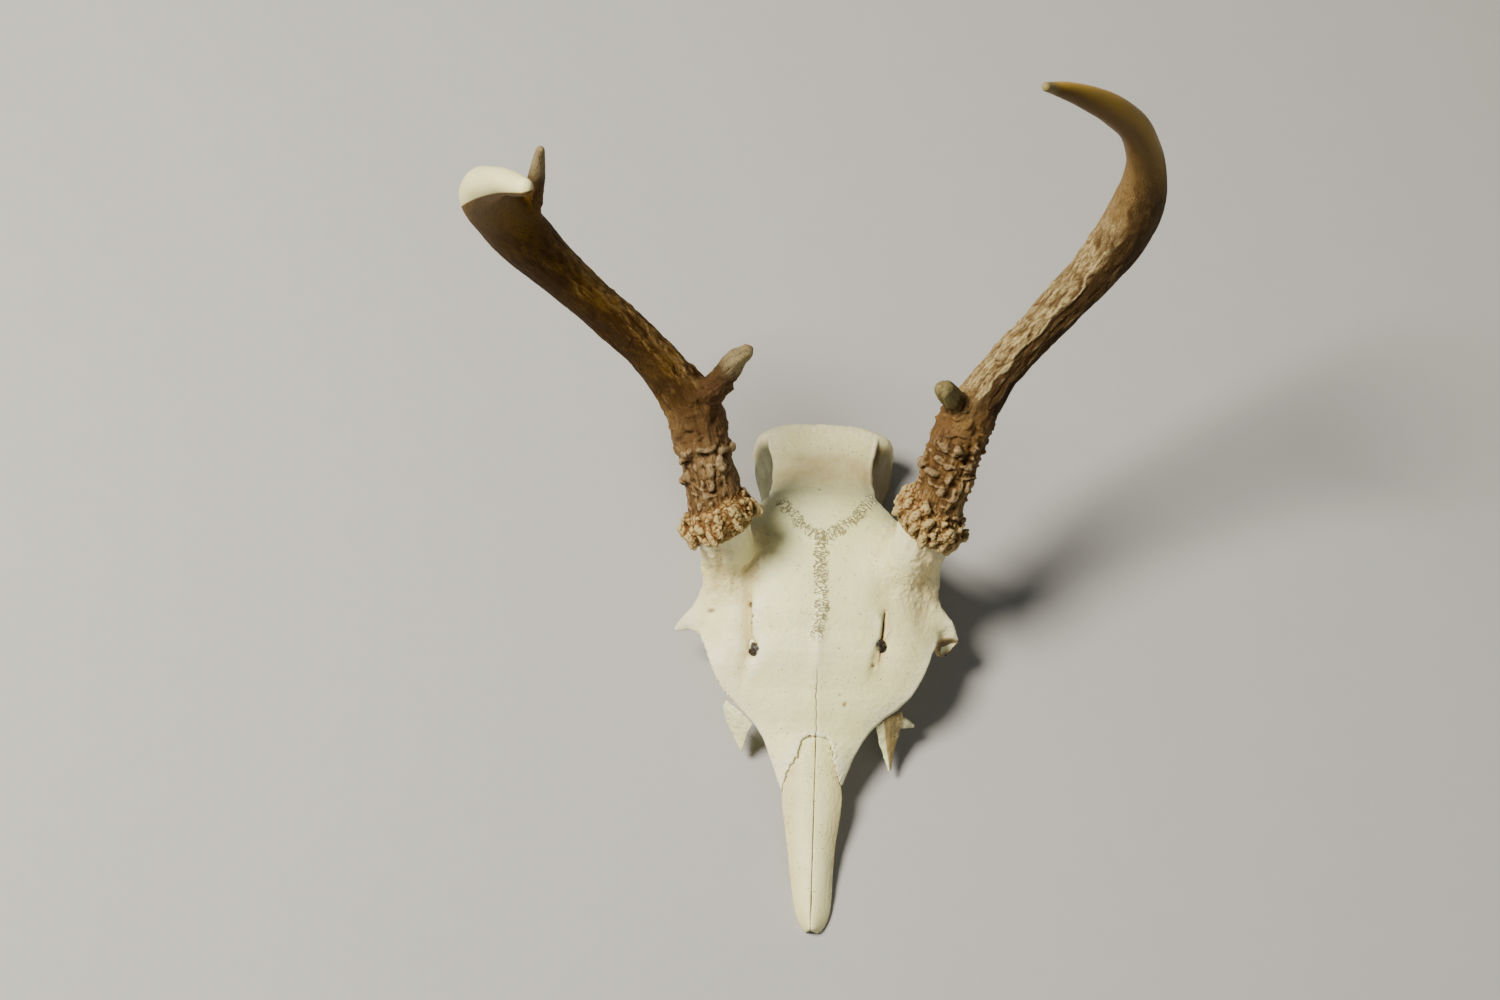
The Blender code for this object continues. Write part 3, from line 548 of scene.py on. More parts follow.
def antler_paint(name, tip, end, foot_pair, shaft, ridge, bleach, twig_pair):
    """Weathered antler: streaked along its grain, dark in its grooves with dirt and painted shade, pale on its ridges,
    smooth at its tip, and painted with shade and light on its long sides.
    """
    p = Paint(name)
    grain = p.value("grain", "Vector")
    crevice, valley, polish, foot, burr, twig, bleached, speckle = (
        p.value(key) for key in ("crevice", "valley", "polish", "foot", "burr", "twig", "bleached", "speckle"))
    broad = p.clouds(40, 3)
    streak = p.clouds(0.5, 4, 0.6, grain)
    fine = p.clouds(2.4, 3, 0.65, grain)
    half_valley = p.times(valley, 0.5)
    # Shaft, foot, tines and burr.
    both = p.sum(broad, p.times(streak, 0.7), p.times(fine, 0.5))
    p.colour = p.mix(p.ramp(p.sum(both, p.times(p.value("gold"), 0.2)), 0.95, 1.3), *shaft)
    p.coat(p.mix(p.ramp(both, 0.98, 1.3), *foot_pair), foot)
    p.coat(p.mix(p.ramp(p.sum(twig, p.times(fine, 0.3)), 0.75, 1.2), *twig_pair),
           p.ramp(twig, 0.1, 0.6), p.ramp(fine, 0.3, 0.6, 0.6, 1.0))
    p.coat(p.mix(p.ramp(streak, 0.35, 0.65), (0.205, 0.105, 0.03), (0.345, 0.215, 0.075)), burr)
    # Dark streaks, and pale ridges.
    p.coat((0.04, 0.018, 0.006), p.ramp(fine, 0.52, 0.62), p.ramp(streak, 0.4, 0.58, 0.3, 1.0), 0.9,
           p.ramp(burr, 0, 1, 1.0, 0.2))
    high = p.ramp(p.sum(p.times(crevice, 0.4), p.times(valley, 1.1), p.times(streak, -0.6)), -0.45, -1.15)
    p.coat(p.mix(foot, ridge, (0.4, 0.305, 0.175)), high, p.ramp(p.sum(twig, foot), 0, 1, 0.9, 0.6),
           p.ramp(fine, 0.62, 0.42, 0.35, 1.0))
    # Painted shade on one long side of the shaft, pale patches that are partly painted light on the other side, and the
    # speckled feet of the tines.
    p.coat((0.04, 0.019, 0.004), p.value("shaded"), p.ramp(streak, 0.35, 0.65, 0.95, 0.7))
    p.coat(bleach, bleached, p.ramp(streak, 0.35, 0.6, 0.35, 0.85), p.ramp(fine, 0.62, 0.48, 0.35, 1.0))
    p.coat((0.1, 0.048, 0.014), bleached, p.ramp(p.clouds(1.1, 3, 0.6, grain), 0.5, 0.6), 0.75)
    p.coat((0.12, 0.06, 0.026), speckle, p.ramp(fine, 0.35, 0.6, 0.15, 0.6))
    p.coat((0.075, 0.035, 0.017), speckle, p.ramp(p.clouds(520, 2), 0.5, 0.58), 0.8)
    # Pale tops of the burr's lumps, then dirt and painted shade in everything low, darkest in the burr's deep crevices.
    p.coat((0.57, 0.45, 0.195), burr, p.ramp(p.sum(crevice, half_valley), 0.1, -0.8), 0.6)
    low = p.ramp(p.sum(crevice, half_valley, p.times(fine, 0.3), p.times(foot, 0.2)), 0.3, 0.95)
    p.coat(p.mix(burr, (0.05, 0.024, 0.008), (0.085, 0.03, 0.007)), low, 0.8)
    p.coat((0.035, 0.013, 0.006), burr, p.ramp(crevice, 0.9, 1.4))
    # The polished tip, with painted light along the outer side of its bend and painted shade on the inner side, most of
    # all on the left antler.
    smooth = p.mix(p.ramp(p.sum(p.value("outside"), p.times(broad, 0.4)), -0.2, 1.0), *tip)
    smooth = p.mix(p.ramp(fine, 0.5, 0.8, 0, 0.2), smooth, shaft[1])
    p.coat(p.mix(p.value("end"), smooth, end), polish)
    rough = p.sum(p.ramp(polish, 0, 1, 0.6, 0.34), p.times(fine, 0.12))
    relief = p.bump(p.times(fine, p.ramp(polish, 0, 1, 1.0, 0.15)), 0.0006)
    relief = p.bump(p.clouds(2600, 3), 0.00008, Normal=relief)
    return p.finish(rough, relief, Subsurface_Weight=0.04, Subsurface_Scale=0.002, Specular_IOR_Level=0.12)


def bone_paint():
    """Dry ivory bone with fine pores and wandering sutures. It carries painted shade, yellowed, in its valleys and
    broad dips, painted light on its ridges and bulges, and near-black painted shade in its holes.
    """
    p = Paint("bone")
    valley = p.value("valley")
    bowl = p.value("bowl")
    mottle = p.clouds(150, 4, 0.6)
    p.colour = p.mix(p.ramp(p.clouds(26, 3), 0.3, 0.7), (0.85, 0.835, 0.48), (0.82, 0.78, 0.37))
    p.coat((0.72, 0.61, 0.32), p.ramp(mottle, 0.5, 0.8, 0, 0.45))
    # Painted shade, yellowed, in valleys and broad dips, and painted light on ridges and bulges.
    p.coat((0.6, 0.48, 0.2), p.ramp(valley, 0.1, 0.9, 0, 0.55))
    p.coat((0.9, 0.88, 0.74), p.ramp(valley, -0.2, -1.0, 0, 0.5))
    p.coat((0.52, 0.415, 0.2), p.ramp(bowl, 0.15, 1.0, 0, 0.75))
    p.coat((0.92, 0.91, 0.74), p.ramp(bowl, -0.2, -1.0, 0, 0.4))
    # Yellowed places: the bone's own yellowing, with painted shade on the sides of the frontal, in the soft dips in
    # front of the antlers, on the outer slopes of the grooves and on the sides of the nasal bones.
    p.coat((0.68, 0.55, 0.26), p.value("yellow"), p.ramp(mottle, 0.3, 0.65, 0.5, 0.9))
    # The hollows behind the antlers are darkened with stain and painted shade, greyer on the right and browner on the
    # left.
    side = p.ramp(p.node("SeparateXYZ", p.place).outputs[0], -0.01, 0.01)
    p.coat(p.mix(side, (0.085, 0.083, 0.042), (0.23, 0.175, 0.065)), p.value("hollow"),
           p.ramp(mottle, 0.2, 0.7, 0.88, 1.0))
    # Brown stains, and painted shade on the broken face of the stub and on the shard's wing.
    p.coat((0.42, 0.27, 0.08), p.value("stain"), p.ramp(mottle, 0.2, 0.7, 0.6, 1.0))
    # Dirt and painted shade in narrow crevices.
    p.coat((0.22, 0.145, 0.06), p.ramp(p.value("crevice"), 0.3, 1.1, 0, 0.75))
    # Pores, hairlines and sutures.
    porous = p.ramp(p.sum(p.clouds(180, 2), p.times(p.value("pores"), 0.32)), 0.5, 0.62)
    pores = p.times(p.ramp(p.pits(620), 0.17, 0.07), porous)
    p.coat((0.27, 0.17, 0.07), pores, 0.8)
    hairs = p.ramp(p.size_of(p.sum(p.clouds(110, 2, 0.5), -0.5)), 0.01, 0.003)
    p.coat((0.36, 0.27, 0.14), hairs, p.ramp(p.clouds(45, 1), 0.52, 0.6), 0.3)
    seams = p.most(p.stitches("coronal", 2.6, 0.0), p.stitches("midline", 2.7, 5.0), p.thin_line("crack", 0.22))
    p.coat((0.2, 0.145, 0.07), seams, 0.8)
    # Near-black painted shade inside the holes, the slot and the stub's face.
    p.coat((0.025, 0.015, 0.009), p.value("deep"))
    relief = p.bump(p.clouds(900, 4, 0.6), 0.0002)
    relief = p.bump(p.times(p.most(seams, pores), -1.0), 0.0006, Normal=relief)
    return p.finish(p.ramp(mottle, 0.3, 0.7, 0.46, 0.58), relief, Subsurface_Weight=0.08, Subsurface_Scale=0.003)


# Antlers.

def burr_parts(line, along, seed):
    """The coronet: a low core and crowded lumps round it, the lowest ones hanging over the bone."""
    draw = np.random.default_rng(seed)
    centre = line.points[0] + line.along[0] * BURR_LIFT
    side = unit(line.side[0] - along * along.dot(line.side[0]))
    other = np.cross(along, side)
    heights, radii = np.array(BURR_CORE).T
    parts = [skin(rings(centre + along * heights[:, None], radii, side, other, 48))]
    for height, radius, count, length, width, reach, tilt in BURR_ROWS:
        for k in range(count):
            t = 2 * math.pi * (k + draw.uniform(-0.4, 0.4)) / count
            ray = math.cos(t) * side + math.sin(t) * other
            lobe = 0.6 * math.sin(3 * t + seed) + 0.5 * math.sin(7 * t + 2 * seed)
            at = centre + along * (height + draw.uniform(-1.1, 1.1)) + ray * (radius + lobe + draw.uniform(-0.7, 0.4))
            way = along + ray * (tilt + draw.uniform(-0.3, 0.3)) + np.cross(along, ray) * draw.uniform(-0.5, 0.5)
            size = draw.uniform(0.7, 1.4)
            parts.append(lump(at, way, ray, length * size, width * size, reach * size, seed * 100 + k))
    return parts


def cream_side(points, s):
    """The cream part of the right tip: its upper side, down to a crisp bowed edge. The cream is partly the tip's own
    polish and partly painted light on the side that faces up.
    """
    rise = (points - CREAM_EDGE) @ CREAM_WAY
    t = np.clip((points[:, 0] - CREAM_EDGE[0]) / CREAM_SPAN, 0, 1)
    return ramp(rise - CREAM_BOW * t * (1 - t), -0.3, 0.3) * ramp(s, *CREAM_START)


def long_side(off, p, s, way, low, high, start, full, fade, stop, seed):
    """The share of one long side of an antler, with a wandering edge, and how far round to it each point lies."""
    turn = off @ np.array(way) + 0.22 * noise(p * (1, 1, 0.35) / 3.2, seed)
    return ramp(turn, low, high) * ramp(s, start, full) * ramp(s, stop, fade), turn


def build_antler(name, nodes, beam, lean, tines, marks, pits, seed, rough_end, ledges, shade, bleach, material, creamy):
    """One antler, from its burr to its tip.

    Its burr leans outward by lean, it is rough up to the length rough_end, and ledges says how strong its ledges
    are. The shade argument places its long side with painted shade, and the argument after it its paler long side,
    which is partly painted light: each gives the way that the side faces, how far round it starts and is full, and
    the lengths where it starts, is full, fades and stops. A creamy antler has a cream side to its tip, partly painted
    light.
    """
    line = Line(beam)
    twigs = [Line(t) for t in tines]
    facing = unit(line.along[3] + np.array([lean, 0, 0]))
    parts = [line.tube(1.0)] + [t.tube(0.0) for t in twigs] + burr_parts(line, facing, seed)
    for s, angle, length, width, reach, turn in marks:
        k, ray = line.outward(s, angle)
        t = math.radians(turn)
        way = line.along[k] * math.cos(t) + np.cross(line.along[k], ray) * math.sin(t)
        parts.append(lump(line.points[k] + ray * (line.radius[k] + 0.1), way, ray, length, width, reach, int(s * 7)))
    form = fused(name, parts, ANTLER_FACE)

    # Where each point lies along the beam or a tine.
    near, u, v, s = line.locate(form.points)
    reach = np.hypot(u, v) / line.radius[near]
    grain = np.stack([u, v, s / GRAIN_STRETCH], axis=1)
    twig_share, twig, speckle, pale, ease = np.zeros((5, len(s)))
    for branch in twigs:
        t_near, t_u, t_v, t_s = branch.locate(form.points)
        t_reach = np.hypot(t_u, t_v) / branch.radius[t_near]
        share = ramp(reach - t_reach, -0.1, 0.5) * (t_s > 0.5)

        def part(low, high):
            """A ramp between two parts of the tine's length."""
            return ramp(t_s, branch.length * low, branch.length * high)

        grain = np.where((share > 0.5)[:, None], np.stack([t_u + 40, t_v, t_s / GRAIN_STRETCH], axis=1), grain)
        twig_share = np.maximum(twig_share, share)
        twig = np.maximum(twig, share * part(0.6, 0.95))
        speckle = np.maximum(speckle, share * part(0.8, 0.35))
        pale = np.maximum(pale, share * part(0.35, 0.85))
        ease = np.maximum(ease, ramp(np.abs(reach - 1.3), 0.8, 0.2) * part(0.7, 0.25) * ramp(t_reach, 2.4, 1.5))
        # The beam is speckled too, just below the tine.
        k = int(np.argmin(norms(line.points - branch.points[0])))
        ray = branch.points[-1] - branch.points[0]
        ray -= line.along[k] * (ray @ line.along[k])
        k = line.sample(line.at[k] - 7)
        spot = line.points[k] + unit(ray) * line.radius[k]
        speckle = np.maximum(speckle, 0.9 * hill(norms(form.points - spot), 6))
    on_beam = 1 - twig_share
    form.sink(60, ease)
    form.sink(2, 0.8)
    rise = (form.points - line.points[0]) @ facing
    burr = np.maximum(ramp(rise, 7.5, 5.0), ramp(np.hypot(u, v), 13.0, 14.5) * ramp(s, 16, 12))
    foot = ramp(s, 60, 40) * (1 - twig_share * ramp(twig, 0, 0.5))
    base = foot * (1 - burr)
    p = grain * (1, 1, GRAIN_STRETCH)
    drift = np.stack([noise(p / 9, seed + k) for k in (1, 2, 3)], axis=1)

    def warped(stretch, size, warp=0.0):
        """Points for noise that is drawn out along the grain where the stretch is below 1."""
        return p * (1, 1, stretch) / size + drift * warp

    def grainy(stretch, size, key, warp=0.0):
        return noise(warped(stretch, size, warp), seed + key)

    # The beam is roughest at its foot and grows smooth towards its tip.
    coarse = ramp(s, rough_end, rough_end * 0.25) * (1 - 0.4 * twig) * (1 - burr)
    some = 0.2 + 0.8 * coarse
    off = units(form.points - line.points[near], 0.1)
    # Which way is out of the bend, for the painted light on the outer side of the tip.
    outward = line.points - line.points[line.at > line.length * 0.6].mean(axis=0)
    outward = units(outward - line.along * dots(outward, line.along)[:, None])
    # Painted shade on one long side of the beam.
    shaded, turn = long_side(off, p, s, *shade, seed + 17)
    shaded *= on_beam
    # Pale patches on the other long side, partly painted light.
    bleached = long_side(off, p, s, *bleach, seed + 19)[0] * on_beam * (1 - shaded)
    bleached *= ramp(grainy(0.5, 3.0, 21), -0.55, 0.15)

    # Waves, the step at the edge of the side with painted shade, ridges, rills and fine pits of the beam.
    height = grainy(0.35, 7, 6) * 0.75 * (0.35 + 0.65 * coarse)
    low, high, start, full, fade, stop = shade[1:]
    zone = ramp(s, start, full) * ramp(s, stop - 45, fade - 45) * on_beam
    step = 0.55 * hill(turn - low + 0.07, 0.1) - 0.6 * ramp(turn, low, high) * ramp(turn, 1.0, 0.6)
    height += step * zone * ledges ** 1.5
    height += ramp(grainy(0.5, 2.0, 22), 0.1, 0.5) * 0.6 * bleached * coarse
    height += grainy(0.25, 1.1, 23) * 0.22 * bleached * some
    height += grainy(1 / 4.5, 2.7, 4, 0.3) * 0.85 * coarse * (1 - (1.1 - 0.7 * ledges) * foot)
    rills = ramp(np.abs(grainy(1 / 4.5, 2.1, 5, 0.5)), 0.2, 0.0) * ramp(grainy(1, 6, 10), -0.5, 0.1)
    height -= rills * 0.5 * coarse * (1 - 0.65 * foot)
    rills = ramp(np.abs(grainy(0.2, 1.2, 15, 0.3)), 0.25, 0.0) * ramp(grainy(1, 4, 16), -0.3, 0.2)
    height -= rills * 0.34 * (0.3 * some + 0.7 * coarse) * (1 - 0.4 * foot)
    first, _, number = cells(warped(0.3, 1.5, 0.2), seed + 11)
    height -= ramp(first, 0.5, 0.1) * ramp(number, 0.5, 0.3) * 0.28 * some * (1 - burr)
    # Lumps, ledges, pearls and pits of the foot.
    height += fractal(warped(0.6, 4.6, 0.3), seed + 12, 2) * 1.2 * base
    height += ramp(noise(p * (0.7, 0.7, 1.5) / 3.4 + drift * 0.4, seed + 13), 0.2, 0.6) * ledges * base
    first, _, number = cells(warped(0.65, 4.2, 0.25), seed + 7)
    height += np.sqrt(np.clip(1 - (first / 0.5) ** 2, 0, 1)) * ramp(number, 0.6, 0.9) * 1.2 * base
    height += (fractal(warped(0.7, 2.4), seed + 20, 2) + grainy(0.25, 1.3, 24)) * 0.5 * speckle
    height -= ramp(number, 0.16, 0.08) * ramp(first, 0.45, 0.05) * 0.7 * base
    for s_pit, angle, width, depth in pits:
        k, ray = line.outward(s_pit, angle)
        spot = line.points[k] + ray * line.radius[k]
        height -= 0.75 * depth * hill(norms(form.points - spot), width)
    # The burr.
    edge = cells(form.points / 3.0 + drift * 0.2, seed + 8)[1]
    height += (ramp(edge, 0, 0.3) - 0.6) * 0.35 * burr
    height += fractal(form.points / 1.5, seed + 9, 2) * 0.25 * np.maximum(0.5 * burr, 0.6 * foot)
    height -= ramp(np.abs(noise(form.points / 2.3, seed + 18)), 0.2, 0.0) * 0.3 * burr
    form.push(height)
    form.sink(1, 0.5)

    root = np.clip(ease * 1.5, 0, 1)
    uneven = s + 6 * noise(p * (0.8, 0.8, 0.15) / 2, seed + 14)
    if creamy:
        shine = cream_side(form.points, uneven) * on_beam
        # Painted shadow of the cream tip on the beam just below its edge; the painted shade on the upper beam is
        # lighter.
        edge = np.clip(form.smoothed(shine, 60) * 2.6, 0, 0.3)
        shaded = np.maximum(shaded * (1 - 0.55 * ramp(s, 125, 185)), 0.85 * edge)
    else:
        shine = ramp(uneven, *OCHRE_START) * on_beam
    piece(name, form, material, "antler", [name + "_" + node for node in nodes],
          crevice=form.depth(7, 0.22) * (1 - 0.7 * root) * (1 - 0.7 * shine),
          valley=form.depth(60, 0.9) * (1 - root) * (1 - 0.8 * twig_share), polish=shine, foot=foot, burr=burr,
          twig=pale, speckle=speckle, shaded=shaded, gold=ramp(s, 110, 165) * on_beam, bleached=bleached,
          outside=dots(off, outward[near]), end=ramp(s, line.length - 8, line.length - 1), grain=grain)


right_horn = antler_paint("antler right", ((0.76, 0.68, 0.3), (0.8, 0.735, 0.36)), (0.8, 0.73, 0.37),
                          ((0.115, 0.06, 0.019), (0.245, 0.15, 0.062)),
                          ((0.05, 0.021, 0.002), (0.165, 0.084, 0.009)),
                          (0.24, 0.14, 0.038), (0.3, 0.185, 0.062), ((0.08, 0.048, 0.018), (0.31, 0.245, 0.13)))
left_horn = antler_paint("antler left", ((0.12, 0.06, 0.008), (0.46, 0.275, 0.04)), (0.22, 0.17, 0.07),
                         ((0.135, 0.068, 0.018), (0.31, 0.19, 0.066)),
                         ((0.075, 0.036, 0.01), (0.23, 0.142, 0.05)),
                         (0.47, 0.38, 0.19), (0.4, 0.31, 0.145), ((0.09, 0.052, 0.016), (0.22, 0.18, 0.075)))
build_antler("antler_right", ("burr", "base", "beam", "tip", "brow_tine", "upper_tine"),
             RIGHT_BEAM, -0.4, [RIGHT_BROW, UPPER_TINE], RIGHT_MARKS, RIGHT_PITS, 5, 190, 0.5,
             ((-0.7, -0.62, -0.32), -0.02, 0.3, 50, 62, 165, 215),
             ((0.61, 0.7, 0.36), 0.15, 0.7, 46, 58, 100, 165), right_horn, creamy=True)
build_antler("antler_left", ("burr", "base", "beam", "tip", "brow_tine"),
             LEFT_BEAM, 0.4, [LEFT_BROW], LEFT_MARKS, LEFT_PITS, 9, 200, 1.0,
             ((0.72, -0.6, -0.3), 0.06, 0.24, 46, 56, 160, 205),
             ((-0.72, 0.6, 0.3), -0.3, 0.0, 48, 58, 135, 165), left_horn, creamy=False)


# Skull.

BONE = bone_paint()


def follow(x, y, path):
    """For points in plan: distance to a path, the same with a sign for the side, and how far along it they are."""
    best = np.full(len(x), 1e9)
    signed, along = np.zeros((2, len(x)))
    done = 0.0
    for (ax, ay), (bx, by) in zip(path, path[1:]):
        dx, dy = bx - ax, by - ay
        length = math.hypot(dx, dy)
        t = np.clip(((x - ax) * dx + (y - ay) * dy) / length ** 2, 0, 1)
        gx = x - ax - t * dx
        gy = y - ay - t * dy
        gap = np.hypot(gx, gy)
        near = gap < best
        best = np.where(near, gap, best)
        signed = np.where(near, np.copysign(gap, dx * gy - dy * gx), signed)
        along = np.where(near, done + t * length, along)
        done += length
    return best, signed, along


def bone_from_node(name, size, rounds, hold=()):
    """The skin of a CAD bone, evened out and freed of its facets, less so along the paths to hold."""
    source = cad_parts[name].data
    form = fused(name + " form", [(points_of(source) / MM, [f.vertices for f in source.polygons])], size)
    x, y = form.points[:, :2].T
    kept = np.zeros(len(x))
    for path in hold:
        kept = np.maximum(kept, ramp(follow(x, y, path)[0], 2.5, 1.0))
    form.relax(rounds, 1 - kept)
    return form


def bone_piece(name, form, narrow, wide, **values):
    """The finished piece of a bone, with the depths at which its crevices and its valleys are full."""
    piece(name + "_bone", form, BONE, "bone", [name], crevice=form.depth(10, narrow), valley=form.depth(60, wide),
          **values)


def jagged(form):
    """Make the gap at the nasal sutures jagged and narrow: both bones shift alike, and each a little towards it."""
    x, y = form.points[:, :2].T
    best = np.full(len(x), 1e9)
    lift = np.zeros((len(x), 2))
    h = 0.05
    for path in (NASAL_RIGHT, NASAL_LEFT):
        gap = follow(x, y, path)[0]
        slope = units(np.stack([follow(x + h, y, path)[0] - gap, follow(x, y + h, path)[0] - gap], axis=1), 1e-6)
        near = gap < best
        best = np.where(near, gap, best)
        lift = np.where(near[:, None], slope, lift)
    share = hill(best, 2.4) * ramp(np.abs(x), 0.4, 2.5) * ramp(y, -158, -152)
    close = 0.21 + 0.24 * ramp(y, -142, -138.5)
    form.points[:, :2] -= lift * (close * hill(best, 0.6))[:, None]
    flat = form.points * (1, 1, 0.2)
    for axis in (0, 1):
        shift = sum(noise(flat / size, seed + axis) * tall for size, seed, tall in
                    ((2.1, 70, 0.8), (0.9, 80, 0.4), (1.2, 90, 0.4)))
        form.points[:, axis] += shift * share


def suture_place(x, y, path, start, stop=1e9):
    """Place along a suture, distance from it, and how strongly it is marked, for the bone's material."""
    gap, signed, along = follow(x, y, path)
    marked = ramp(along, start, start + 4) * ramp(along, stop, stop - 5) * ramp(gap, 7, 5)
    return np.stack([along, signed, marked], axis=1)


def groove(x, y, path, side, inside, outside, fade, crisp):
    """The share of a groove's depth and of its wide dish at each point, and how far outside it the point lies.

    It fades in over a length, or else out over its last part. In front of the crisp place its inner side is steep.
    """
    gap, signed, along = follow(x, y, path)
    outer = signed * side
    total = sum(math.dist(a, b) for a, b in zip(path, path[1:]))
    soft = inside + 0.3 + 3.5 * ramp(y, crisp - 3, crisp + 3)
    ends = ramp(along, -1, fade) if fade else ramp(along, total + 1, total - 14)
    dent = hill(gap, np.where(outer > 0, outside, inside)) * ends * ramp(y, crisp + 4, crisp - 3)
    return dent, hill(gap, np.where(outer > 0, 6.5, soft)) * ends, outer


def build_cranium():
    """The frontal bones and the braincase, with their grooves, holes, hollows and rough places."""
    form = bone_from_node("cranium", CRANIUM_FACE, 20, (NASAL_RIGHT, NASAL_LEFT))
    x, y, z = form.points.T
    form.sink(90, ramp(y, -58, -40) * ramp(z, 3, 12) * ramp(y, 1.5, -4))
    horn_x, horn_y = HORN_PLACE
    apart = np.minimum(*(np.hypot(x - sign * horn_x, (y - horn_y) * 0.9) for sign in (-1, 1)))
    form.sink(280, ramp(apart, 29, 17) * ramp(z, 62, 55) * ramp(z, 30, 38) * 0.95)
    x, y, z = form.points.T  # These follow what is moved in place, up to the push.
    normal = form.normals()
    up = normal[:, 2]
    outer = ramp(dots(normal, units(np.stack([x, (y + 60) * 0.5, z - 8], axis=1))), 0.0, 0.35)
    top = outer * ramp(up, 0.1, 0.5)
    horn = ramp(apart, 24, 12) * outer

    # Low waves, rough bone round the pedicles, and the soft hollows in front of the antlers.
    height = fractal(form.points / 12, 50, 3) * 0.4 * outer
    rugged = fractal(form.points * (1, 0.6, 0.6) / 2.6, 51, 3)
    height += (rugged * 0.85 + np.abs(noise(form.points / 2.0, 52)) * 0.3) * horn
    height += fractal(form.points / 1.6, 53, 2) * 0.1 * outer
    fronts, deep, hollows, trough = np.zeros((4, len(x)))
    for cx, cy, wide, long, depth in ((42, -84, 3.6, 10, 1.1), (-29, -78, 3.2, 10, 0.8), (-41, -80, 3.0, 8, 0.6)):
        front = depth * hill(x - cx, wide) * hill(y - cy, long) * outer
        height -= front
        fronts = np.maximum(fronts, front)
    stain = horn * 0.15

    # Grooves that run to and from the holes over the orbits.
    for path, side, inside, outside, depth, dish, fade, crisp in (
            (RIGHT_GROOVE, -1, 1.0, 3.0, 1.2, 2.0, 18, -86), (RIGHT_OUTLET, -1, 1.4, 2.6, 0.8, 1.1, 0, 0),
            (LEFT_GROOVE, 1, 0.7, 1.8, 0.5, 1.4, 16, -92), (LEFT_OUTLET, 1, 1.6, 2.6, 0.3, 0.8, 0, 0)):
        dent, wide, beyond = groove(x, y, path, side, inside, outside, fade, crisp)
        # Painted shade on the outer slope of each groove.
        trough = np.maximum(trough, hill(beyond / 2.8 - 0.5, 1) * wide * top)
        height -= (depth * dent + dish * wide) * top
        stain = np.maximum(stain, 0.35 * dent * top)
        if path is LEFT_GROOVE:
            # The slot in the left groove, painted near-black with shade.
            slot = hill(beyond - 0.35, 0.5) * ramp(y, -89, -92) * ramp(y, -108, -103)
            height -= 1.2 * slot * top
            deep = np.maximum(deep, ramp(slot, 0.3, 0.9) * 0.8 * top)
    # Small holes: brown round the rim, with near-black painted shade inside.
    for cx, cy, r, depth, dark in SMALL_HOLES:
        squeeze = 0.45 if cx < -40 else 1  # One lies on a steep side.
        spot = hill(np.hypot((x - cx) * squeeze, y - cy), r) * ramp(up, -0.05, 0.15)
        height -= depth * spot
        stain = np.maximum(stain, spot)
        deep = np.maximum(deep, spot * dark)
    # The holes over the orbits narrow inside, and their walls get near-black painted shade.
    for cx, cy in ORBIT_HOLES:
        away = np.hypot(x - cx, y - cy)
        height -= 0.6 * hill(away - 1.7, 1.0) * top
        deep = np.maximum(deep, ramp(away, 2.15, 1.75) * ramp(up, 0.85, 0.6))
        rim = z[away < 2.6].max()
        foot = z[away < 2.6].min()
        throat = ramp(away, 2.4, 1.6) * ramp(z, rim - 0.8, rim - 2.2) * ramp(z, foot, foot + 1.0) * 0.95
        form.points[:, :2] -= (form.points[:, :2] - (cx, cy)) * throat[:, None]
        deep = np.maximum(deep, ramp(away, 2.8, 2.2) * ramp(z, rim - 0.9, rim - 1.8) * ramp(z, foot + 0.3, foot + 1.2))

    # The rim behind the temporal hollows flares, the hollows pinch in, and a saddle lies in front of the crest.
    flare = 2.2 * hill(y + 3, 5) - 1.4 * hill(y + 21, 7)
    form.points[:, 0] += np.sign(x) * flare * ramp(np.abs(x), 8, 20) * ramp(z, 2, 12)
    height += (0.7 * hill(y + 5, 4) - 1.0 * hill(y + 24, 9) * ramp(np.abs(x), 22, 14)) * top
    # The temporal hollows behind the antlers, each under a sharp line.
    for sign, line_x in ((-1, 20.8), (1, 21.3)):
        edge = line_x + 2.0 * ramp(y, -16, -4) + 0.8 * ramp(y, -24, -32) + 0.4 * noise(form.points / 5, 54)
        past = x * sign - edge
        height -= 2.4 * ramp(past, -0.3, 1.3) * ramp(y, -1.5, -8) * ramp(y, -38, -28) * ramp(z, 4, 14) * outer
        height += 0.4 * hill(past + 0.9, 0.9) * ramp(y, -1, -6) * ramp(y, -36, -28) * top
        # How much stain and painted shade each of the hollows gets.
        hollows = np.maximum(hollows, ramp(past, -0.4, 0.6) * ramp(y, -3, -8) * ramp(y, -42, -33))
    # Seams stand up a little, and in front of them the mid-line is a low ridge.
    for path, reach in ((CORONAL, 3.0), (MIDLINE[:5], 2.7)):
        seam = hill(follow(x, y, path)[0], reach) * top
        height += (0.2 + 0.45 * noise(form.points / 1.1, 55)) * seam
    gap = follow(x, y, MIDLINE[4:])[0]
    height += (0.5 * hill(gap, 4.0) - 0.3 * ramp(y, -110, -136) * hill(gap, 0.5)) * top
    gap = follow(x, y, MIDLINE[2:6])[0]
    height += 0.6 * hill(gap, 2.0) * ramp(y, -76, -88) * ramp(y, -118, -106) * top
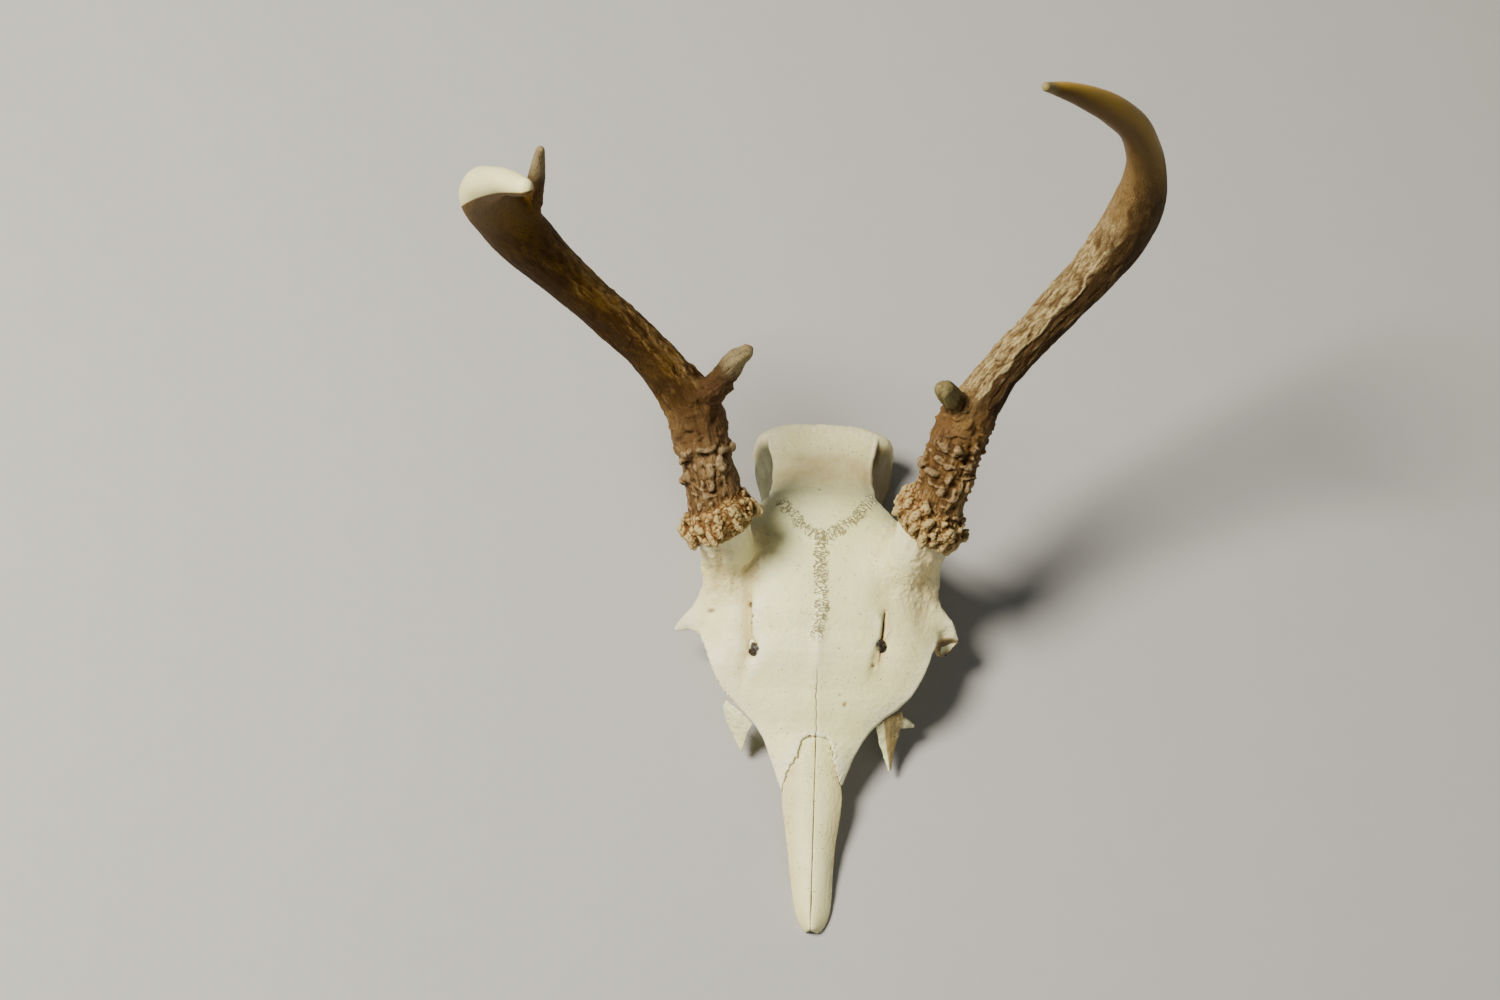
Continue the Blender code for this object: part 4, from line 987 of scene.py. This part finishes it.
    # The rim of the right orbit is finely nicked, and the rim of the nuchal crest turns out.
    rim = ramp(x, -30, -36) * ramp(y, -98, -102) * ramp(up, 0.75, 0.3)
    height -= ramp(np.abs(noise(form.points / 1.5, 58)), 0.35, 0.05) * 0.9 * rim
    height += 0.8 * ramp(y, -4, 1) * ramp(z, 17, 24) * ramp(z, 31, 27) * outer
    height += fractal(form.points / 2.2, 56, 2) * 0.35 * ramp(y, -9, 0) * outer
    # The broken face of the stub behind the left orbit, stained brown and darkened with painted shade.
    stub = (form.points - STUB_FACE) @ STUB_WAY
    round_it = norms(form.points - STUB_FACE)
    face = ramp(stub, -0.9, -0.2) * ramp(round_it, 6.4, 5.0)
    height -= 1.3 * face * ramp(round_it, 5.5, 2.0)
    stain = np.maximum(stain, face)
    deep = np.maximum(deep, 0.75 * face * ramp(round_it + noise(form.points / 1.5, 57), 5.0, 3.2))
    form.push(height)
    jagged(form)
    form.sink(1, 0.6)
    form.lift_to_floor()

    x, y, z = form.points.T
    # Yellowing of the braincase and round the pedicles, with painted shade on the sides of the frontal and in the soft
    # dips in front of the antlers.
    yellow = (0.5 * ramp(y, -50, -20) + 0.5 * ramp(y, -32, -22) * ramp(y, -10, -15) + 0.4 * horn
              + 0.3 * ramp(np.abs(x), 22, 34) + 0.5 * fronts)
    bone_piece("cranium", form, 0.3, 1.1, bowl=form.bowl() / 1.2, stain=np.clip(stain, 0, 1),
               deep=np.clip(deep, 0, 1), hollow=hollows, yellow=np.clip(np.maximum(yellow, trough), 0, 1),
               pores=hill(y + 8.5 + x * x * 0.006, 1.8) * ramp(np.abs(x), 19, 14) + 0.4 * horn,
               coronal=suture_place(x, y, CORONAL, 13, 79), midline=suture_place(x, y, MIDLINE, 0, 46),
               crack=suture_place(x, y, MIDLINE, 53))


def build_nasal(name):
    """A nasal bone, finely lined along its length."""
    form = bone_from_node(name, NASAL_FACE, 10, (NASAL_RIGHT, NASAL_LEFT, BETWEEN_NASALS))
    jagged(form)
    x, y, z = form.points.T
    height = fractal(form.points / 9, 60, 2) * 0.2 + fractal(form.points / 1.5, 61, 2) * 0.05
    lines = np.abs(noise(np.stack([x, y / 9, z], axis=1) / 1.7, 62))
    height -= lines * 0.12 * ramp(form.normals()[:, 2], 0.1, 0.5)
    form.push(height)
    form.lift_to_floor()
    # Both sides of each nasal bone are yellowed, partly as painted shade where they slope away.
    bone_piece(name, form, 0.3, 1.6, stain=0.25 * ramp(y, -200, -212), yellow=0.6 * ramp(np.abs(x), 5, 9) + 0.2)


def build_shard(name):
    """A thin shard with a low ridge down its blade. The left one has a darker wing, stained brown and darkened with
    painted shade.
    """
    form = bone_from_node(name, SHARD_FACE, 8)
    x, y, _ = form.points.T
    form.push(fractal(form.points / 2.5, 64, 3) * 0.4 - np.abs(noise(form.points / (1.5, 3, 3), 65)) * 0.12)
    form.sink(1, 0.5)
    strip = x - 26.2 - (y + 129) / -14 * 3.1
    wing = ramp(strip, 0.9, 1.5) * (x > 0) * (1 - 0.9 * ramp(x, 34, 36.5))
    wing *= ramp(noise(form.points / 1.5, 66), -1.2, -0.4)
    bone_piece(name, form, 0.25, 1.2, bowl=np.full(len(x), -0.4), stain=0.35 * wing, hollow=wing)


build_cranium()
for side in ("right", "left"):
    build_nasal("nasal_" + side)
    build_shard("lacrimal_" + side)


# Floor, light and camera.

def build_floor(colour, half_width):
    """A plain pale floor, wide enough for every view."""
    p = Paint("floor")
    p.colour = p.mix(p.ramp(p.clouds(60, 4, 0.6), 0.3, 0.7), colour, tuple(c * 0.985 for c in colour))
    mesh = bpy.data.meshes.new("floor")
    corners = [(x * half_width, y * half_width, 0) for x, y in ((-1, -1), (1, -1), (1, 1), (-1, 1))]
    mesh.from_pydata(corners, [], [(0, 1, 2, 3)])
    floor = placed("floor", mesh)
    floor.data.materials.append(p.finish(0.75, p.bump(p.clouds(900, 2), 0.00003)))


def build_light(name, place, size, power, colour):
    """A round lamp that is aimed at the middle of the model."""
    data = bpy.data.lights.new(name, "AREA")
    data.shape = "DISK"
    data.size = size
    data.energy = power
    data.color = colour
    made = placed(name, data)
    made.location = place
    made.rotation_euler = (Vector((-0.02, -0.05, 0.1)) - Vector(place)).to_track_quat("-Z", "Y").to_euler()


def build_world(colour, strength):
    world = bpy.data.worlds.new("studio")
    world.use_nodes = True
    back = world.node_tree.nodes["Background"]
    back.inputs["Color"].default_value = (*colour, 1)
    back.inputs["Strength"].default_value = strength
    bpy.context.scene.world = world


def build_camera():
    """The photograph's view: 63 degrees above the floor, turned slightly clockwise."""
    place = Vector((-0.0298, -0.5646, 1.0696))
    target = Vector((-0.0298, -0.0425, 0.045))
    ahead = (target - place).normalized()
    right = ahead.cross(Vector((0, 0, 1))).normalized()
    up = right.cross(ahead)
    roll = math.radians(1.985)
    across = right * math.cos(roll) + up * math.sin(roll)
    upright = up * math.cos(roll) - right * math.sin(roll)
    data = bpy.data.cameras.new("camera")
    data.lens = 67.2
    data.sensor_width = 36.0
    data.clip_start = 0.01
    made = placed("camera", data)
    made.matrix_world = Matrix.Translation(place) @ Matrix((across, upright, -ahead)).transposed().to_4x4()
    bpy.context.scene.camera = made


build_floor((0.37, 0.365, 0.355), 6.0)
build_light("key", (-0.82, -0.04, 1.43), 0.6, 63, (1.0, 0.955, 0.83))
build_light("fill", (0.5, -1.3, 0.9), 1.4, 3.5, (0.98, 0.97, 0.94))
build_world((0.88, 0.89, 0.88), 0.1)
build_camera()
